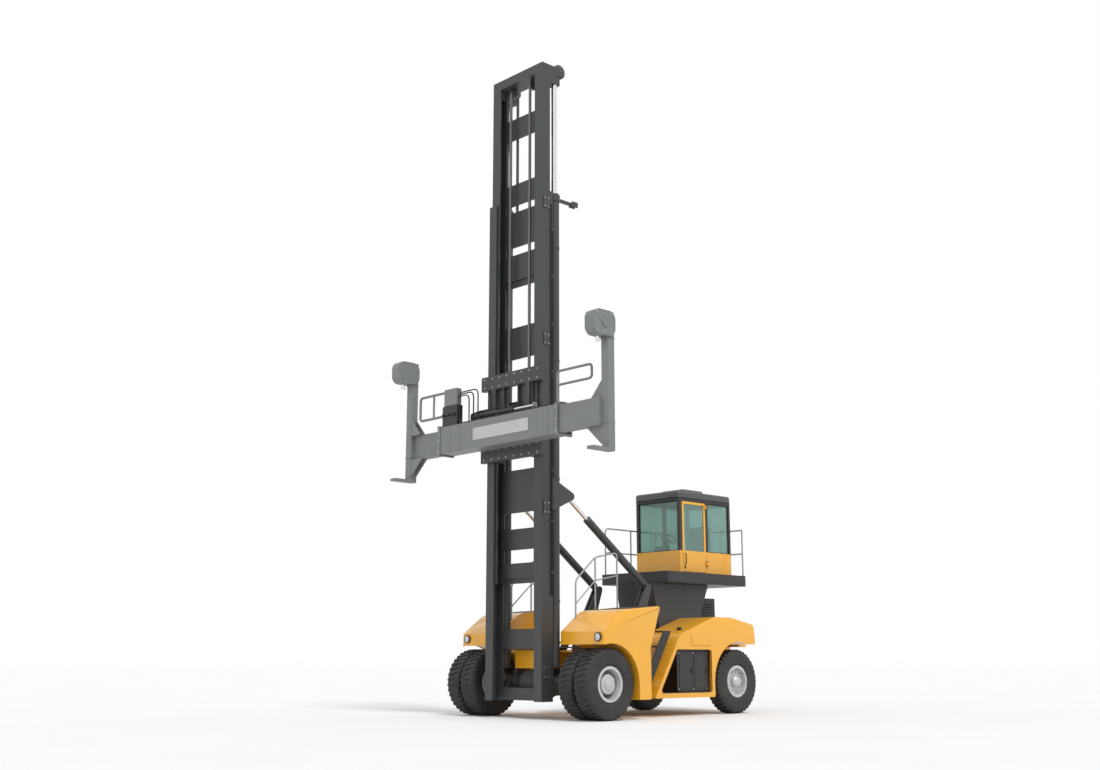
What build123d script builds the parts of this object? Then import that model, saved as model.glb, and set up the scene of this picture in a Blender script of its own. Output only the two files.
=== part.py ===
import os
from math import atan2, cos, degrees, hypot, radians, sin

from build123d import *

os.makedirs("parts", exist_ok=True)

# An empty container handler: a wheeled chassis with a raised cab, a two-stage mast in front of
# the drive axle and a side-lift spreader. Millimetres. X runs to the machine's left, Y to its
# rear, Z up from the ground, and the origin lies under the middle of the whole machine.
# Places along the machine are measured aft of the drive axle and turned into Y by aft().

# Clearances and overruns shared by all pieces
cut_over = 10.0
pin_clearance = 0.1
slide_clearance = 6.0
seat = 0.3

# Overall reach from the drive axle
front_reach = 1460.0
tail_reach = 5500.0
wheelbase = 4500.0
front_axle_y = (front_reach - tail_reach) / 2

# Tyres and rims
tyre_radius = 665.0
tyre_width = 360.0
tyre_bead_half = 135.0
tyre_belly_radius = 490.0
tyre_shoulder_half = 172.0
tyre_shoulder_radius = 615.0
tyre_tread_half = 140.0
rim_radius = 305.0
rim_wall = 24.0
rim_well = 262.0
rim_disc = 30.0
rim_flange = 26.0
twin_gap = 62.0
front_track = 3270.0
rear_track = 2540.0
reduction_radius = 185.0
reduction_length = 300.0
wheel_nut_radius = 18.0
wheel_nut_count = 10

# Chassis frame
frame_half = 540.0
frame_plate = 40.0
frame_top = 1300.0
frame_bottom = 430.0
frame_front = -100.0
frame_tail = 4880.0
frame_over_drive = 950.0
frame_over_steer = 970.0
frame_belly_front = 420.0
frame_belly_slope = 180.0
frame_belly_tail = 3450.0
frame_belly_rise = 300.0

# Drive axle and mast pivot
axle_radius = 165.0
axle_bulge = 270.0
axle_bulge_half = 200.0
axle_bulge_taper = 420.0
spindle_radius = 80.0
spindle_length = 330.0
pivot_ahead = 270.0
pivot_height = 500.0
pivot_pin_radius = 50.0
pivot_lug_radius = 90.0
pivot_ear_radius = 70.0
pivot_x = 685.0
pivot_lug_width = 86.0
pivot_ear_width = 46.0

# Steer axle
kingpin_x = 1000.0
kingpin_radius = 36.0
steer_beam_depth = 220.0
steer_beam_height = 240.0
fork_reach = 62.0
fork_plate = 44.0
knuckle_half = 122.0
stub_radius = 60.0
trunnion_radius = 70.0
trunnion_reach = 190.0
hanger_plate = 60.0

# Outer mast: a pair of channels open to the middle
outer_half = 820.0
outer_wall = 34.0
outer_flange = 220.0
mast_front = 650.0
mast_depth = 300.0
outer_foot = 330.0
outer_head = 10600.0

# Low and high edge of each cross plate of the outer mast
outer_plates = [
    (9650.0, 10430.0),
    (8760.0, 9180.0),
    (7210.0, 7890.0),
    (3270.0, 3690.0),
    (2600.0, 2840.0),
    (1320.0, 1710.0),
]

# Inner mast, nested in the outer one and stored raised
nest_gap = 6.0
inner_wall = 30.0
inner_flange = 235.0
inner_foot = 2600.0
inner_head = 13450.0
lift_down = 2250.0
lift_up = 5900.0
# Low and high edge of each cross plate of the inner mast
inner_plates = [
    (12060.0, 12540.0),
    (10560.0, 11040.0),
    (8900.0, 9460.0),
    (5750.0, 6300.0),
    (4010.0, 4880.0),
    (2700.0, 3000.0),
]

# Lift cylinders behind the outer mast
lift_x = 715.0
lift_behind = 210.0
lift_radius = 105.0
lift_bore = 80.0
lift_rod = 60.0
lift_base = 1000.0
lift_gland = 150.0
lift_rod_foot = 3400.0

# Chains over the crosshead
chain_x = 300.0
chain_width = 50.0
chain_thick = 30.0
chain_front = 520.0
chain_rear = 325.0
sheave_height = 13100.0
crosshead_beam = 200.0
chain_anchor_height = 10250.0

# Carriage
carriage_low = 5050.0
carriage_high = 6850.0
carriage_half = 900.0
carriage_plate = 40.0
carriage_front_deep = 100.0
roller_x = 600.0
roller_width = 80.0

# Spreader
beam_low = 5300.0
beam_high = 5870.0
beam_half = 1800.0
beam_depth = 360.0
beam_wall = 16.0
pad_length = 120.0
beam_behind = 800.0
leg_x = 2960.0
leg_width = 170.0
leg_low = 4840.0
leg_high = 7460.0
arm_tail = 1700.0
arm_wall = 14.0
arm_stroke = 3050.0
head_tall = 480.0
head_wide = 250.0
head_round = 160.0
shift_stroke = 500.0

# Tilt cylinders
tilt_x = 715.0
tilt_mast_aft = 140.0
tilt_mast_height = 4300.0
tilt_base_aft = 2450.0
tilt_base_height = 2600.0
tilt_radius = 80.0
tilt_bore = 62.0
tilt_rod = 42.0
tilt_barrel_share = 0.76
tilt_pin = 40.0
tilt_eye = 78.0
tilt_eye_width = 80.0
tilt_eye_slack = 4.0
tilt_cheek = 30.0
saddle_front = 1750.0
saddle_back = 2150.0
saddle_tall = 220.0

# Front fenders
fender_in = 880.0
fender_out = 2050.0
fender_wall = 40.0
fender_nose = -750.0
fender_nose_height = 1570.0
fender_under = 1425.0
fender_shoulder_aft = 200.0
fender_shoulder_height = 2040.0
fender_tail_aft = 1400.0
fender_tail_height = 2150.0
fender_waist_aft = 1130.0
fender_waist_height = 1200.0
fender_hem = 370.0
fender_arch = 760.0
fender_bay_tail = 100.0

# Rear body
body_half = 1500.0
body_wall = 40.0
body_toe_aft = 1800.0
body_hem = 360.0
body_brow_aft = 2650.0
body_brow_height = 1630.0
body_crown_aft = 3900.0
body_crown_height = 1790.0
body_tail_aft = 5380.0
body_tail_height = 1700.0
body_tail_under = 1300.0
wheel_arch = 825.0
window_edge = 105.0
body_round = 90.0

# Counterweight and tow clevis
weight_low = 960.0
weight_high = 1760.0
weight_aft = 5410.0
clevis_reach = 90.0
clevis_half = 70.0
clevis_plate = 30.0
clevis_gap = 80.0
clevis_height = 1150.0
clevis_bore = 22.0
clevis_tip = 40.0

# Engine and hood
engine_half = 330.0
engine_front = 2400.0
engine_back = 3850.0
engine_low = 620.0
engine_high = 1290.0
hood_half = 455.0
hood_front = 4060.0
hood_back = 5000.0
hood_high = 2450.0
hood_wall = 30.0

# Cab tower and platform
tower_foot_front = 3150.0
tower_foot_back = 4050.0
tower_top_front = 2850.0
tower_top_back = 4680.0
tower_plate = 40.0
platform_half = 950.0
platform_front = 2850.0
platform_back = 5500.0
platform_low = 2720.0
platform_high = 2920.0

# Cab
cab_half = 640.0
cab_front = 3650.0
cab_back = 5400.0
cab_wall = 50.0
cab_sill = 3450.0
cab_eaves = 4610.0
cab_roof = 4760.0
cab_floor = 60.0
cab_post = 70.0
cab_glass = 10.0
door_front = 3740.0
door_back = 4520.0
door_foot = 3000.0
door_gap = 10.0
hinge_radius = 14.0
hinge_out = 24.0
hinge_pin = 6.0
hinge_tall = 90.0
hinge_heights = (3150.0, 4400.0)

# Steps, rails, lamps and mirrors
tread_count = 5
tread_front = 1420.0
tread_pitch_aft = 190.0
tread_pitch_up = 300.0
tread_low = 460.0
tread_deep = 230.0
tread_thick = 30.0
step_in = 930.0
step_out = 1420.0
stringer = 20.0
deck_height = 1890.0
deck_front = 2200.0
deck_back = 2850.0
rail_radius = 17.0
rail_heights = (3450.0, 3980.0)
lamp_radius = 110.0
lamp_x = 1700.0
lamp_aft = -430.0
lamp_height = 1660.0
lamp_deep = 200.0


def aft(distance):
    """The Y of a place this far behind the drive axle."""
    return front_axle_y + distance


def block(x, y, z, mode=Mode.ADD):
    """A box between pairs of limits along X, Y and Z."""
    middles = [(low + high) / 2 for low, high in (x, y, z)]
    with Locations(tuple(middles)):
        Box(x[1] - x[0], y[1] - y[0], z[1] - z[0], mode=mode)


def side_slab(x, outline, mode=Mode.ADD):
    """An outline of (Y, Z) corners, carried from one X to another."""
    with BuildSketch(Plane.YZ.offset(x[0])) as face:
        with BuildLine():
            Polyline(*outline, close=True)
        make_face()
    extrude(face.sketch, amount=x[1] - x[0], mode=mode)


def round_bar(start, end, radius, mode=Mode.ADD):
    """A round bar between two points."""
    along = Vector(*end) - Vector(*start)
    with BuildSketch(Plane(origin=start, z_dir=along)) as face:
        Circle(radius)
    extrude(face.sketch, amount=along.length, mode=mode)


def save(part, name):
    """Labels a finished piece and writes it to its own file."""
    part.label = name
    export_step(part, f"parts/{name}.step")


sides = {"left": 1, "right": -1}
rear_axle_y = aft(wheelbase)
axle_height = tyre_radius


def spread(side, low, high):
    """Two X limits on the given side, in rising order."""
    return tuple(sorted((side * low, side * high)))


def turned(x, y, outline, mode=Mode.ADD):
    """An outline of (X offset, radius) corners turned about an axle line."""
    with BuildSketch(Plane((x, y, axle_height), x_dir=(1, 0, 0), z_dir=(0, -1, 0))) as section:
        with BuildLine():
            Polyline(*outline, close=True)
        make_face()
    revolve(section.sketch, axis=Axis((x, y, axle_height), (1, 0, 0)), mode=mode)


def tyre_ring(x, y):
    """One tyre centred on X: a bellied section turned about its axle."""
    half = tyre_width / 2
    right_side = [
        (tyre_bead_half, rim_radius),
        (tyre_bead_half, rim_radius + rim_flange),
        (half, tyre_belly_radius),
        (tyre_shoulder_half, tyre_shoulder_radius),
        (tyre_tread_half, tyre_radius),
    ]
    left_side = [(-place, radius) for place, radius in reversed(right_side)]
    turned(x, y, right_side + left_side)


twin_offset = (tyre_width + twin_gap) / 2
front_x = front_track / 2
rear_x = rear_track / 2
lip = rim_radius + rim_flange

for name, side in sides.items():
    with BuildPart() as tyre:
        for step in (-1, 1):
            tyre_ring(side * front_x + step * twin_offset, aft(0))
    save(tyre.part, f"tyre_front_{name}")

    with BuildPart() as rim:
        for step in (-1, 1):
            centre = side * front_x + step * twin_offset
            bead = tyre_bead_half
            turned(
                centre,
                aft(0),
                [
                    (-step * (twin_offset), rim_well),
                    (-step * (twin_offset), rim_radius - rim_wall),
                    (-step * bead, rim_radius - rim_wall / 2),
                    (-step * bead, rim_radius - seat),
                    (step * bead, rim_radius - seat),
                    (step * bead, lip),
                    (step * (bead + rim_wall), lip),
                    (step * (bead + rim_wall), rim_radius - rim_wall),
                    (step * bead / 2, rim_well),
                ],
            )
        turned(
            side * front_x,
            aft(0),
            [(-rim_disc, 0), (-rim_disc, rim_well + seat), (rim_disc, rim_well + seat), (rim_disc, 0)],
        )
        hub = (side * front_x, aft(0), axle_height)
        round_bar(hub, (side * (front_x + reduction_length), aft(0), axle_height), reduction_radius)
        inboard = side * (front_x - spindle_length)
        round_bar(hub, (inboard, aft(0), axle_height), reduction_radius)
        for turn in range(wheel_nut_count):
            angle = radians(360 / wheel_nut_count * turn)
            ring = (reduction_radius + rim_well) / 2
            y, z = aft(ring * cos(angle)), axle_height + ring * sin(angle)
            nut = side * (front_x + rim_disc)
            round_bar((nut, y, z), (nut + side * 2 * wheel_nut_radius, y, z), wheel_nut_radius)
        bore_start = (inboard - side * cut_over, aft(0), axle_height)
        bore_end = (side * front_x, aft(0), axle_height)
        round_bar(bore_start, bore_end, spindle_radius + pin_clearance, mode=Mode.SUBTRACT)
    save(rim.part, f"rim_front_{name}")

    with BuildPart() as tyre:
        tyre_ring(side * rear_x, rear_axle_y)
    save(tyre.part, f"tyre_rear_{name}")

    with BuildPart() as rim:
        bead = tyre_bead_half
        turned(
            side * rear_x,
            rear_axle_y,
            [
                (-side * bead, rim_radius - rim_wall),
                (-side * (bead + rim_wall), rim_radius - rim_wall),
                (-side * (bead + rim_wall), lip),
                (-side * bead, lip),
                (-side * bead, rim_radius - seat),
                (side * bead, rim_radius - seat),
                (side * bead, lip),
                (side * (bead + rim_wall), lip),
                (side * (bead + rim_wall), rim_radius - rim_wall),
                (side * bead / 2, rim_well),
                (side * bead / 2, 0),
                (side * (bead / 2 - rim_disc), 0),
                (side * (bead / 2 - rim_disc), rim_well),
            ],
        )
        disc = side * (rear_x + tyre_bead_half / 2)
        hub_low = side * (rear_x - tyre_bead_half / 2)
        hub_high = side * (rear_x + tyre_bead_half)
        hub_start = (hub_low, rear_axle_y, axle_height)
        hub_end = (hub_high, rear_axle_y, axle_height)
        round_bar(hub_start, hub_end, reduction_radius / 2 + stub_radius / 2)
        for turn in range(wheel_nut_count):
            angle = radians(360 / wheel_nut_count * turn)
            ring = (reduction_radius + rim_well) / 2 - wheel_nut_radius
            y, z = rear_axle_y + ring * cos(angle), axle_height + ring * sin(angle)
            round_bar((disc, y, z), (disc + side * 2 * wheel_nut_radius, y, z), wheel_nut_radius)
        bore_start = (hub_low - side * cut_over, rear_axle_y, axle_height)
        bore_end = (disc, rear_axle_y, axle_height)
        round_bar(bore_start, bore_end, stub_radius + pin_clearance, mode=Mode.SUBTRACT)
    save(rim.part, f"rim_rear_{name}")

# Drive axle: a turned housing with spindles, saddles for the frame and the mast's pivot ears
pivot_y, pivot_z = aft(-pivot_ahead), pivot_height
axle_end = front_x - spindle_length - slide_clearance
saddle_half = frame_plate + slide_clearance
with BuildPart() as drive_axle:
    turned(
        0,
        aft(0),
        [
            (-axle_end, 0),
            (-axle_end, axle_radius),
            (-axle_bulge_taper, axle_radius),
            (-axle_bulge_half, axle_bulge),
            (axle_bulge_half, axle_bulge),
            (axle_bulge_taper, axle_radius),
            (axle_end, axle_radius),
            (axle_end, 0),
        ],
    )
    for side in sides.values():
        tip = side * (front_x - slide_clearance)
        start = (side * axle_end, aft(0), axle_height)
        round_bar(start, (tip, aft(0), axle_height), spindle_radius)
        saddle = frame_half - frame_plate / 2
        block(
            spread(side, saddle - saddle_half, saddle + saddle_half),
            (aft(frame_front), aft(-frame_front + axle_radius)),
            (axle_height, frame_over_drive),
        )
        for ear in (-1, 1):
            near = pivot_x + ear * (pivot_lug_width / 2 + slide_clearance)
            far = near + ear * pivot_ear_width
            with BuildSketch(Plane.YZ.offset(spread(side, near, far)[0])) as plate:
                with Locations((pivot_y, pivot_z)):
                    Circle(pivot_ear_radius)
                with Locations((aft(0), axle_height)):
                    Circle(axle_radius + slide_clearance)
                make_hull()
            extrude(plate.sketch, amount=pivot_ear_width)
        pin_half = pivot_lug_width / 2 + slide_clearance + pivot_ear_width
        pin_low, pin_high = spread(side, pivot_x - pin_half, pivot_x + pin_half)
        round_bar((pin_low, pivot_y, pivot_z), (pin_high, pivot_y, pivot_z), pivot_pin_radius)
save(drive_axle.part, "drive_axle")

# Chassis frame: two side plates with an arch over each axle, joined by cross plates
belly_front = frame_belly_front + frame_belly_slope
belly_tail = frame_belly_tail + frame_belly_rise
frame_outline = [
    (aft(frame_front), frame_over_drive),
    (aft(frame_belly_front), frame_over_drive),
    (aft(belly_front), frame_bottom),
    (aft(frame_belly_tail), frame_bottom),
    (aft(belly_tail), frame_over_steer),
    (aft(frame_tail), frame_over_steer),
    (aft(frame_tail), frame_top),
    (aft(frame_front), frame_top),
]
hanger_aft = wheelbase - steer_beam_depth / 2 - trunnion_reach / 2
hanger_gap = trunnion_reach / 2 + steer_beam_depth / 2
inside = frame_half - frame_plate
with BuildPart() as frame:
    for side in sides.values():
        side_slab(spread(side, inside, frame_half), frame_outline)
    for place, low in (
        (frame_front, frame_over_drive),
        (belly_front, frame_bottom),
        ((belly_front + frame_belly_tail) / 2 - engine_half, frame_bottom),
        (frame_tail - frame_plate, frame_over_steer),
    ):
        block((-inside, inside), (aft(place), aft(place + frame_plate)), (low, frame_top))
    block(
        (-inside, inside),
        (aft(wheelbase - hanger_gap - hanger_plate), aft(wheelbase + hanger_gap + hanger_plate)),
        (frame_over_steer, frame_over_steer + frame_plate),
    )
    hanger_half = steer_beam_depth
    hanger_low = axle_height - trunnion_radius - frame_plate
    for step in (-1, 1):
        near = wheelbase + step * hanger_gap
        far = near + step * hanger_plate
        low, high = sorted((aft(near), aft(far)))
        block((-hanger_half, hanger_half), (low, high), (hanger_low, frame_over_steer))
    trunnion_low = (0, aft(wheelbase - hanger_gap - hanger_plate - cut_over), axle_height)
    trunnion_high = (0, aft(wheelbase + hanger_gap + hanger_plate + cut_over), axle_height)
    round_bar(trunnion_low, trunnion_high, trunnion_radius + pin_clearance, mode=Mode.SUBTRACT)
save(frame.part, "frame")

# Steer axle: a beam that rocks on trunnions, with a fork at each end for the kingpin
fork_low = axle_height - knuckle_half - slide_clearance
fork_high = axle_height + knuckle_half + slide_clearance
with BuildPart() as steer_axle:
    beam_y = (rear_axle_y - steer_beam_depth / 2, rear_axle_y + steer_beam_depth / 2)
    beam_end = kingpin_x - fork_reach - slide_clearance
    beam_z = (axle_height - steer_beam_height / 2, axle_height + steer_beam_height / 2)
    block((-beam_end, beam_end), beam_y, beam_z)
    for side in sides.values():
        for low, high in ((fork_low - fork_plate, fork_low), (fork_high, fork_high + fork_plate)):
            block(spread(side, beam_end - fork_reach, kingpin_x), beam_y, (low, high))
            top = (side * kingpin_x, rear_axle_y, high)
            round_bar((side * kingpin_x, rear_axle_y, low), top, steer_beam_depth / 2)
        for low, high in ((fork_low - fork_plate, beam_z[0]), (beam_z[1], fork_high + fork_plate)):
            block(spread(side, beam_end - fork_reach, beam_end), beam_y, (low, high))
        base = (side * kingpin_x, rear_axle_y, fork_low - fork_plate)
        top = (side * kingpin_x, rear_axle_y, fork_high + fork_plate)
        round_bar(base, top, kingpin_radius)
    for step in (-1, 1):
        near = (0, rear_axle_y + step * steer_beam_depth / 2, axle_height)
        far = (0, rear_axle_y + step * (hanger_gap + hanger_plate), axle_height)
        round_bar(near, far, trunnion_radius)
save(steer_axle.part, "steer_axle")

for name, side in sides.items():
    with BuildPart() as knuckle:
        base = (side * kingpin_x, rear_axle_y, axle_height - knuckle_half)
        top = (side * kingpin_x, rear_axle_y, axle_height + knuckle_half)
        round_bar(base, top, fork_reach)
        start = (side * kingpin_x, rear_axle_y, axle_height)
        tip = (side * (rear_x + tyre_bead_half / 2 - slide_clearance), rear_axle_y, axle_height)
        round_bar(start, tip, stub_radius)
        over = (side * kingpin_x, rear_axle_y, axle_height + knuckle_half + cut_over)
        under = (side * kingpin_x, rear_axle_y, axle_height - knuckle_half - cut_over)
        round_bar(under, over, kingpin_radius + pin_clearance, mode=Mode.SUBTRACT)
    save(knuckle.part, f"knuckle_{name}")

# Outer mast: two channels facing each other, cross plates, the lift cylinders' feet, the pivot
# lugs and the cheeks that take the tilt cylinders
mast_y = (aft(-mast_front), aft(-mast_front + mast_depth))
flange_inner = outer_half - outer_flange
barrel_y = aft(-lift_behind)
tilt_mast_y = aft(tilt_mast_aft)
cheek_gap = tilt_eye_width / 2 + slide_clearance
with BuildPart() as outer_mast:
    for side in sides.values():
        block(spread(side, outer_half - outer_wall, outer_half), mast_y, (outer_foot, outer_head))
        flange_x = spread(side, flange_inner, outer_half - outer_wall)
        block(flange_x, (mast_y[0], mast_y[0] + outer_wall), (outer_foot, outer_head))
        block(flange_x, (mast_y[1] - outer_wall, mast_y[1]), (outer_foot, outer_head))
        foot_x = spread(side, flange_inner + cut_over, outer_half)
        block(foot_x, (mast_y[1], barrel_y + lift_radius), (lift_base - outer_wall, lift_base))
        lug_x = spread(side, pivot_x - pivot_lug_width / 2, pivot_x + pivot_lug_width / 2)
        with BuildSketch(Plane.YZ.offset(lug_x[0])) as plate:
            with Locations((pivot_y, pivot_z)):
                Circle(pivot_lug_radius)
            with Locations(((mast_y[1] + pivot_y) / 2, pivot_z)):
                Rectangle(pivot_y - mast_y[1], 2 * pivot_lug_radius)
        extrude(plate.sketch, amount=pivot_lug_width)
        cheeks = (
            (outer_half, outer_half + tilt_cheek),
            (flange_inner - tilt_cheek, flange_inner),
        )
        for low, high in cheeks:
            cheek_x = spread(side, low, high)
            with BuildSketch(Plane.YZ.offset(cheek_x[0])) as plate:
                with Locations((tilt_mast_y, tilt_mast_height)):
                    Circle(tilt_eye)
                with Locations((mast_y[1] - outer_wall / 2, tilt_mast_height)):
                    Rectangle(outer_wall, 8 * tilt_eye)
                make_hull()
            extrude(plate.sketch, amount=tilt_cheek)
        pin_x = spread(side, flange_inner - tilt_cheek, outer_half + tilt_cheek)
        for low, high in (
            (flange_inner, tilt_x - cheek_gap),
            (tilt_x + cheek_gap, outer_half),
        ):
            boss_x = spread(side, low, high)
            start = (boss_x[0], tilt_mast_y, tilt_mast_height)
            round_bar(start, (boss_x[1], tilt_mast_y, tilt_mast_height), tilt_eye * 2 / 3)
        pin_start = (pin_x[0], tilt_mast_y, tilt_mast_height)
        pin_end = (pin_x[1], tilt_mast_y, tilt_mast_height)
        round_bar(pin_start, pin_end, tilt_pin)
        lug_start = (lug_x[0] - cut_over, pivot_y, pivot_z)
        lug_end = (lug_x[1] + cut_over, pivot_y, pivot_z)
        round_bar(lug_start, lug_end, pivot_pin_radius + pin_clearance, mode=Mode.SUBTRACT)
    for low, high in outer_plates:
        block((-flange_inner, flange_inner), (mast_y[1] - outer_wall, mast_y[1]), (low, high))
save(outer_mast.part, "outer_mast")

with BuildPart() as lift_barrels:
    for side in sides.values():
        foot = (side * lift_x, barrel_y, lift_base)
        head = (side * lift_x, barrel_y, outer_head)
        bore = (side * lift_x, barrel_y, lift_base + lift_gland)
        gland = (side * lift_x, barrel_y, outer_head - lift_gland)
        over = (side * lift_x, barrel_y, outer_head + cut_over)
        round_bar(foot, head, lift_radius)
        round_bar(bore, gland, lift_bore, mode=Mode.SUBTRACT)
        round_bar(gland, over, lift_rod + pin_clearance, mode=Mode.SUBTRACT)
save(lift_barrels.part, "lift_barrels")

# Inner mast: nested channels, cross plates, and the crosshead over the chains and rods
inner_half = outer_half - outer_wall - nest_gap
inner_y = (mast_y[0] + outer_wall + nest_gap, mast_y[1] - outer_wall - nest_gap)
inner_edge = inner_half - inner_flange
beam_foot = inner_head - crosshead_beam
rod_top = beam_foot - crosshead_beam
sheave_y = aft(-(chain_front + chain_rear) / 2)
chain_radius = (chain_front - chain_rear) / 2
with BuildPart() as inner_mast:
    for side in sides.values():
        block(spread(side, inner_half - inner_wall, inner_half), inner_y, (inner_foot, inner_head))
        flange_x = spread(side, inner_edge, inner_half - inner_wall)
        block(flange_x, (inner_y[0], inner_y[0] + inner_wall), (inner_foot, inner_head))
        block(flange_x, (inner_y[1] - inner_wall, inner_y[1]), (inner_foot, inner_head))
        shoe_x = spread(side, inner_edge + inner_wall, inner_half)
        block(shoe_x, (inner_y[0], barrel_y + lift_radius), (rod_top, beam_foot))
        for step in (-1, 1):
            hanger = chain_x + step * (chain_width / 2 + slide_clearance + inner_wall / 2)
            hanger_x = spread(side, hanger - inner_wall / 2, hanger + inner_wall / 2)
            hanger_y = (sheave_y - inner_wall, sheave_y + inner_wall)
            block(hanger_x, hanger_y, (sheave_height - inner_wall, beam_foot))
    block((-inner_half, inner_half), (inner_y[0], barrel_y), (beam_foot, inner_head))
    for low, high in inner_plates:
        block((-inner_edge, inner_edge), (inner_y[1] - inner_wall, inner_y[1]), (low, high))
save(inner_mast.part, "inner_mast")

with BuildPart() as lift_rods:
    for side in sides.values():
        foot = (side * lift_x, barrel_y, lift_rod_foot)
        round_bar(foot, (side * lift_x, barrel_y, rod_top - seat), lift_rod)
save(lift_rods.part, "lift_rods")

with BuildPart() as sheaves:
    for side in sides.values():
        low, high = spread(side, chain_x - chain_width / 2, chain_x + chain_width / 2)
        start = (low, sheave_y, sheave_height)
        round_bar(start, (high, sheave_y, sheave_height), chain_radius - chain_thick / 2 - seat)
        pin_start = (low - slide_clearance, sheave_y, sheave_height)
        pin_end = (high + slide_clearance, sheave_y, sheave_height)
        round_bar(pin_start, pin_end, inner_wall * 2 / 3)
save(sheaves.part, "chain_sheaves")

carriage_y = aft(-mast_front) - cut_over
anchor_z = carriage_high - crosshead_beam
with BuildPart() as lift_chains:
    for side in sides.values():
        low, high = spread(side, chain_x - chain_width / 2, chain_x + chain_width / 2)
        outer = chain_radius + chain_thick / 2
        inner = chain_radius - chain_thick / 2
        with BuildSketch(Plane.YZ.offset(low)) as loop:
            with BuildLine():
                Line((sheave_y - outer, anchor_z), (sheave_y - outer, sheave_height))
                arc_top = (sheave_y, sheave_height + outer)
                ThreePointArc(
                    (sheave_y - outer, sheave_height), arc_top, (sheave_y + outer, sheave_height)
                )
                Polyline(
                    (sheave_y + outer, sheave_height),
                    (sheave_y + outer, chain_anchor_height),
                    (sheave_y + inner, chain_anchor_height),
                    (sheave_y + inner, sheave_height),
                )
                arc_top = (sheave_y, sheave_height + inner)
                ThreePointArc(
                    (sheave_y + inner, sheave_height), arc_top, (sheave_y - inner, sheave_height)
                )
                Polyline(
                    (sheave_y - inner, sheave_height),
                    (sheave_y - inner, anchor_z),
                    (sheave_y - outer, anchor_z),
                )
            make_face()
        extrude(loop.sketch, amount=high - low)
save(lift_chains.part, "lift_chains")

# Carriage: two cheeks with rollers inside the inner mast and a welded frame ahead of it
cheek_out = inner_edge - cut_over
cheek_in = cheek_out - carriage_plate
front_y = (carriage_y - carriage_front_deep, carriage_y)
roller_y = (inner_y[0] + inner_y[1]) / 2
roller_radius = (inner_y[1] - inner_y[0]) / 2 - inner_wall - seat
carriage_bars = ((carriage_high - 300.0, carriage_high), (carriage_low, carriage_low + 300.0))
with BuildPart() as carriage:
    for side in sides.values():
        cheek_y = (carriage_y, inner_y[1] - inner_wall - 2 * cut_over)
        block(spread(side, cheek_in, cheek_out), cheek_y, (carriage_low, carriage_high))
        for z in (carriage_low + 2 * roller_radius, carriage_high - 2 * roller_radius):
            start = (side * cheek_out, roller_y, z)
            round_bar(start, (side * (roller_x + roller_width), roller_y, z), roller_radius)
        post_x = spread(side, cheek_in - carriage_plate, cheek_out + carriage_plate)
        block(post_x, front_y, (carriage_low, carriage_high))
    for low, high in carriage_bars:
        block((-carriage_half, carriage_half), front_y, (low, high))
save(carriage.part, "carriage")

# Spreader: a two-celled main beam that slides across the carriage, and an arm in each cell
beam_y = (aft(-beam_behind - beam_depth), aft(-beam_behind))
cell_middle = (beam_y[0] + beam_y[1]) / 2
rail_y = (beam_y[1], carriage_y - carriage_front_deep - seat)
with BuildPart() as spreader_beam:
    block((-beam_half, beam_half), beam_y, (beam_low, beam_high))
    cells = {
        "front": (beam_y[0] + beam_wall, cell_middle - beam_wall / 2),
        "rear": (cell_middle + beam_wall / 2, beam_y[1] - beam_wall),
    }
    for cell_y in cells.values():
        cell_x = (-beam_half - cut_over, beam_half + cut_over)
        cell_z = (beam_low + beam_wall, beam_high - beam_wall)
        block(cell_x, cell_y, cell_z, mode=Mode.SUBTRACT)
    for side, cell_y in zip(sides.values(), cells.values()):
        pad_x = spread(side, beam_half - pad_length, beam_half)
        pad_tall = nest_gap - seat
        for low in (cell_z[0], cell_z[1] - pad_tall):
            block(pad_x, cell_y, (low, low + pad_tall))
    block((-beam_half / 2, beam_half / 2), rail_y, (beam_low, beam_low + carriage_front_deep / 2))
    block((-beam_half / 2, beam_half / 2), rail_y, (beam_high - carriage_front_deep, beam_high))
save(spreader_beam.part, "spreader_beam")

leg_y = (cell_middle - leg_width / 2, cell_middle + leg_width / 2)
for name, side in sides.items():
    cell_y = cells["front"] if side == 1 else cells["rear"]
    arm_y = (cell_y[0] + nest_gap, cell_y[1] - nest_gap)
    arm_z = (beam_low + beam_wall + nest_gap, beam_high - beam_wall - nest_gap)
    with BuildPart() as arm:
        block(spread(side, -arm_tail, leg_x - leg_width / 2), arm_y, arm_z)
        bore_y = (arm_y[0] + arm_wall, arm_y[1] - arm_wall)
        bore_z = (arm_z[0] + arm_wall, arm_z[1] - arm_wall)
        bore_x = spread(side, -arm_tail - cut_over, leg_x - leg_width / 2 - arm_wall)
        block(bore_x, bore_y, bore_z, mode=Mode.SUBTRACT)
        leg_side = spread(side, leg_x - leg_width / 2, leg_x + leg_width / 2)
        block(leg_side, leg_y, (leg_low, leg_high))
        arm_foot_y = (aft(-front_reach), leg_y[1])
        block(leg_side, arm_foot_y, (leg_low, leg_low + leg_width / 3))
        head_x = spread(side, leg_x - head_wide / 2, leg_x + head_wide / 2)
        head_y = (aft(-front_reach), leg_y[1])
        with BuildSketch(Plane.YZ.offset(head_x[0])) as head:
            with Locations((sum(head_y) / 2, leg_high - head_tall / 2)):
                RectangleRounded(head_y[1] - head_y[0], head_tall, head_round)
        extrude(head.sketch, amount=head_wide)
    save(arm.part, f"arm_{name}")
    lock_y = aft(-front_reach + head_round + leg_width / 3)
    lock_top = leg_high - head_tall
    with BuildPart() as lock:
        round_bar((side * leg_x, lock_y, lock_top), (side * leg_x, lock_y, lock_top - 60), 28)
        block(
            (side * leg_x - 25, side * leg_x + 25),
            (lock_y - 52, lock_y + 52),
            (lock_top - 120, lock_top - 60),
        )
    save(lock.part, f"twistlock_{name}")

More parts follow.
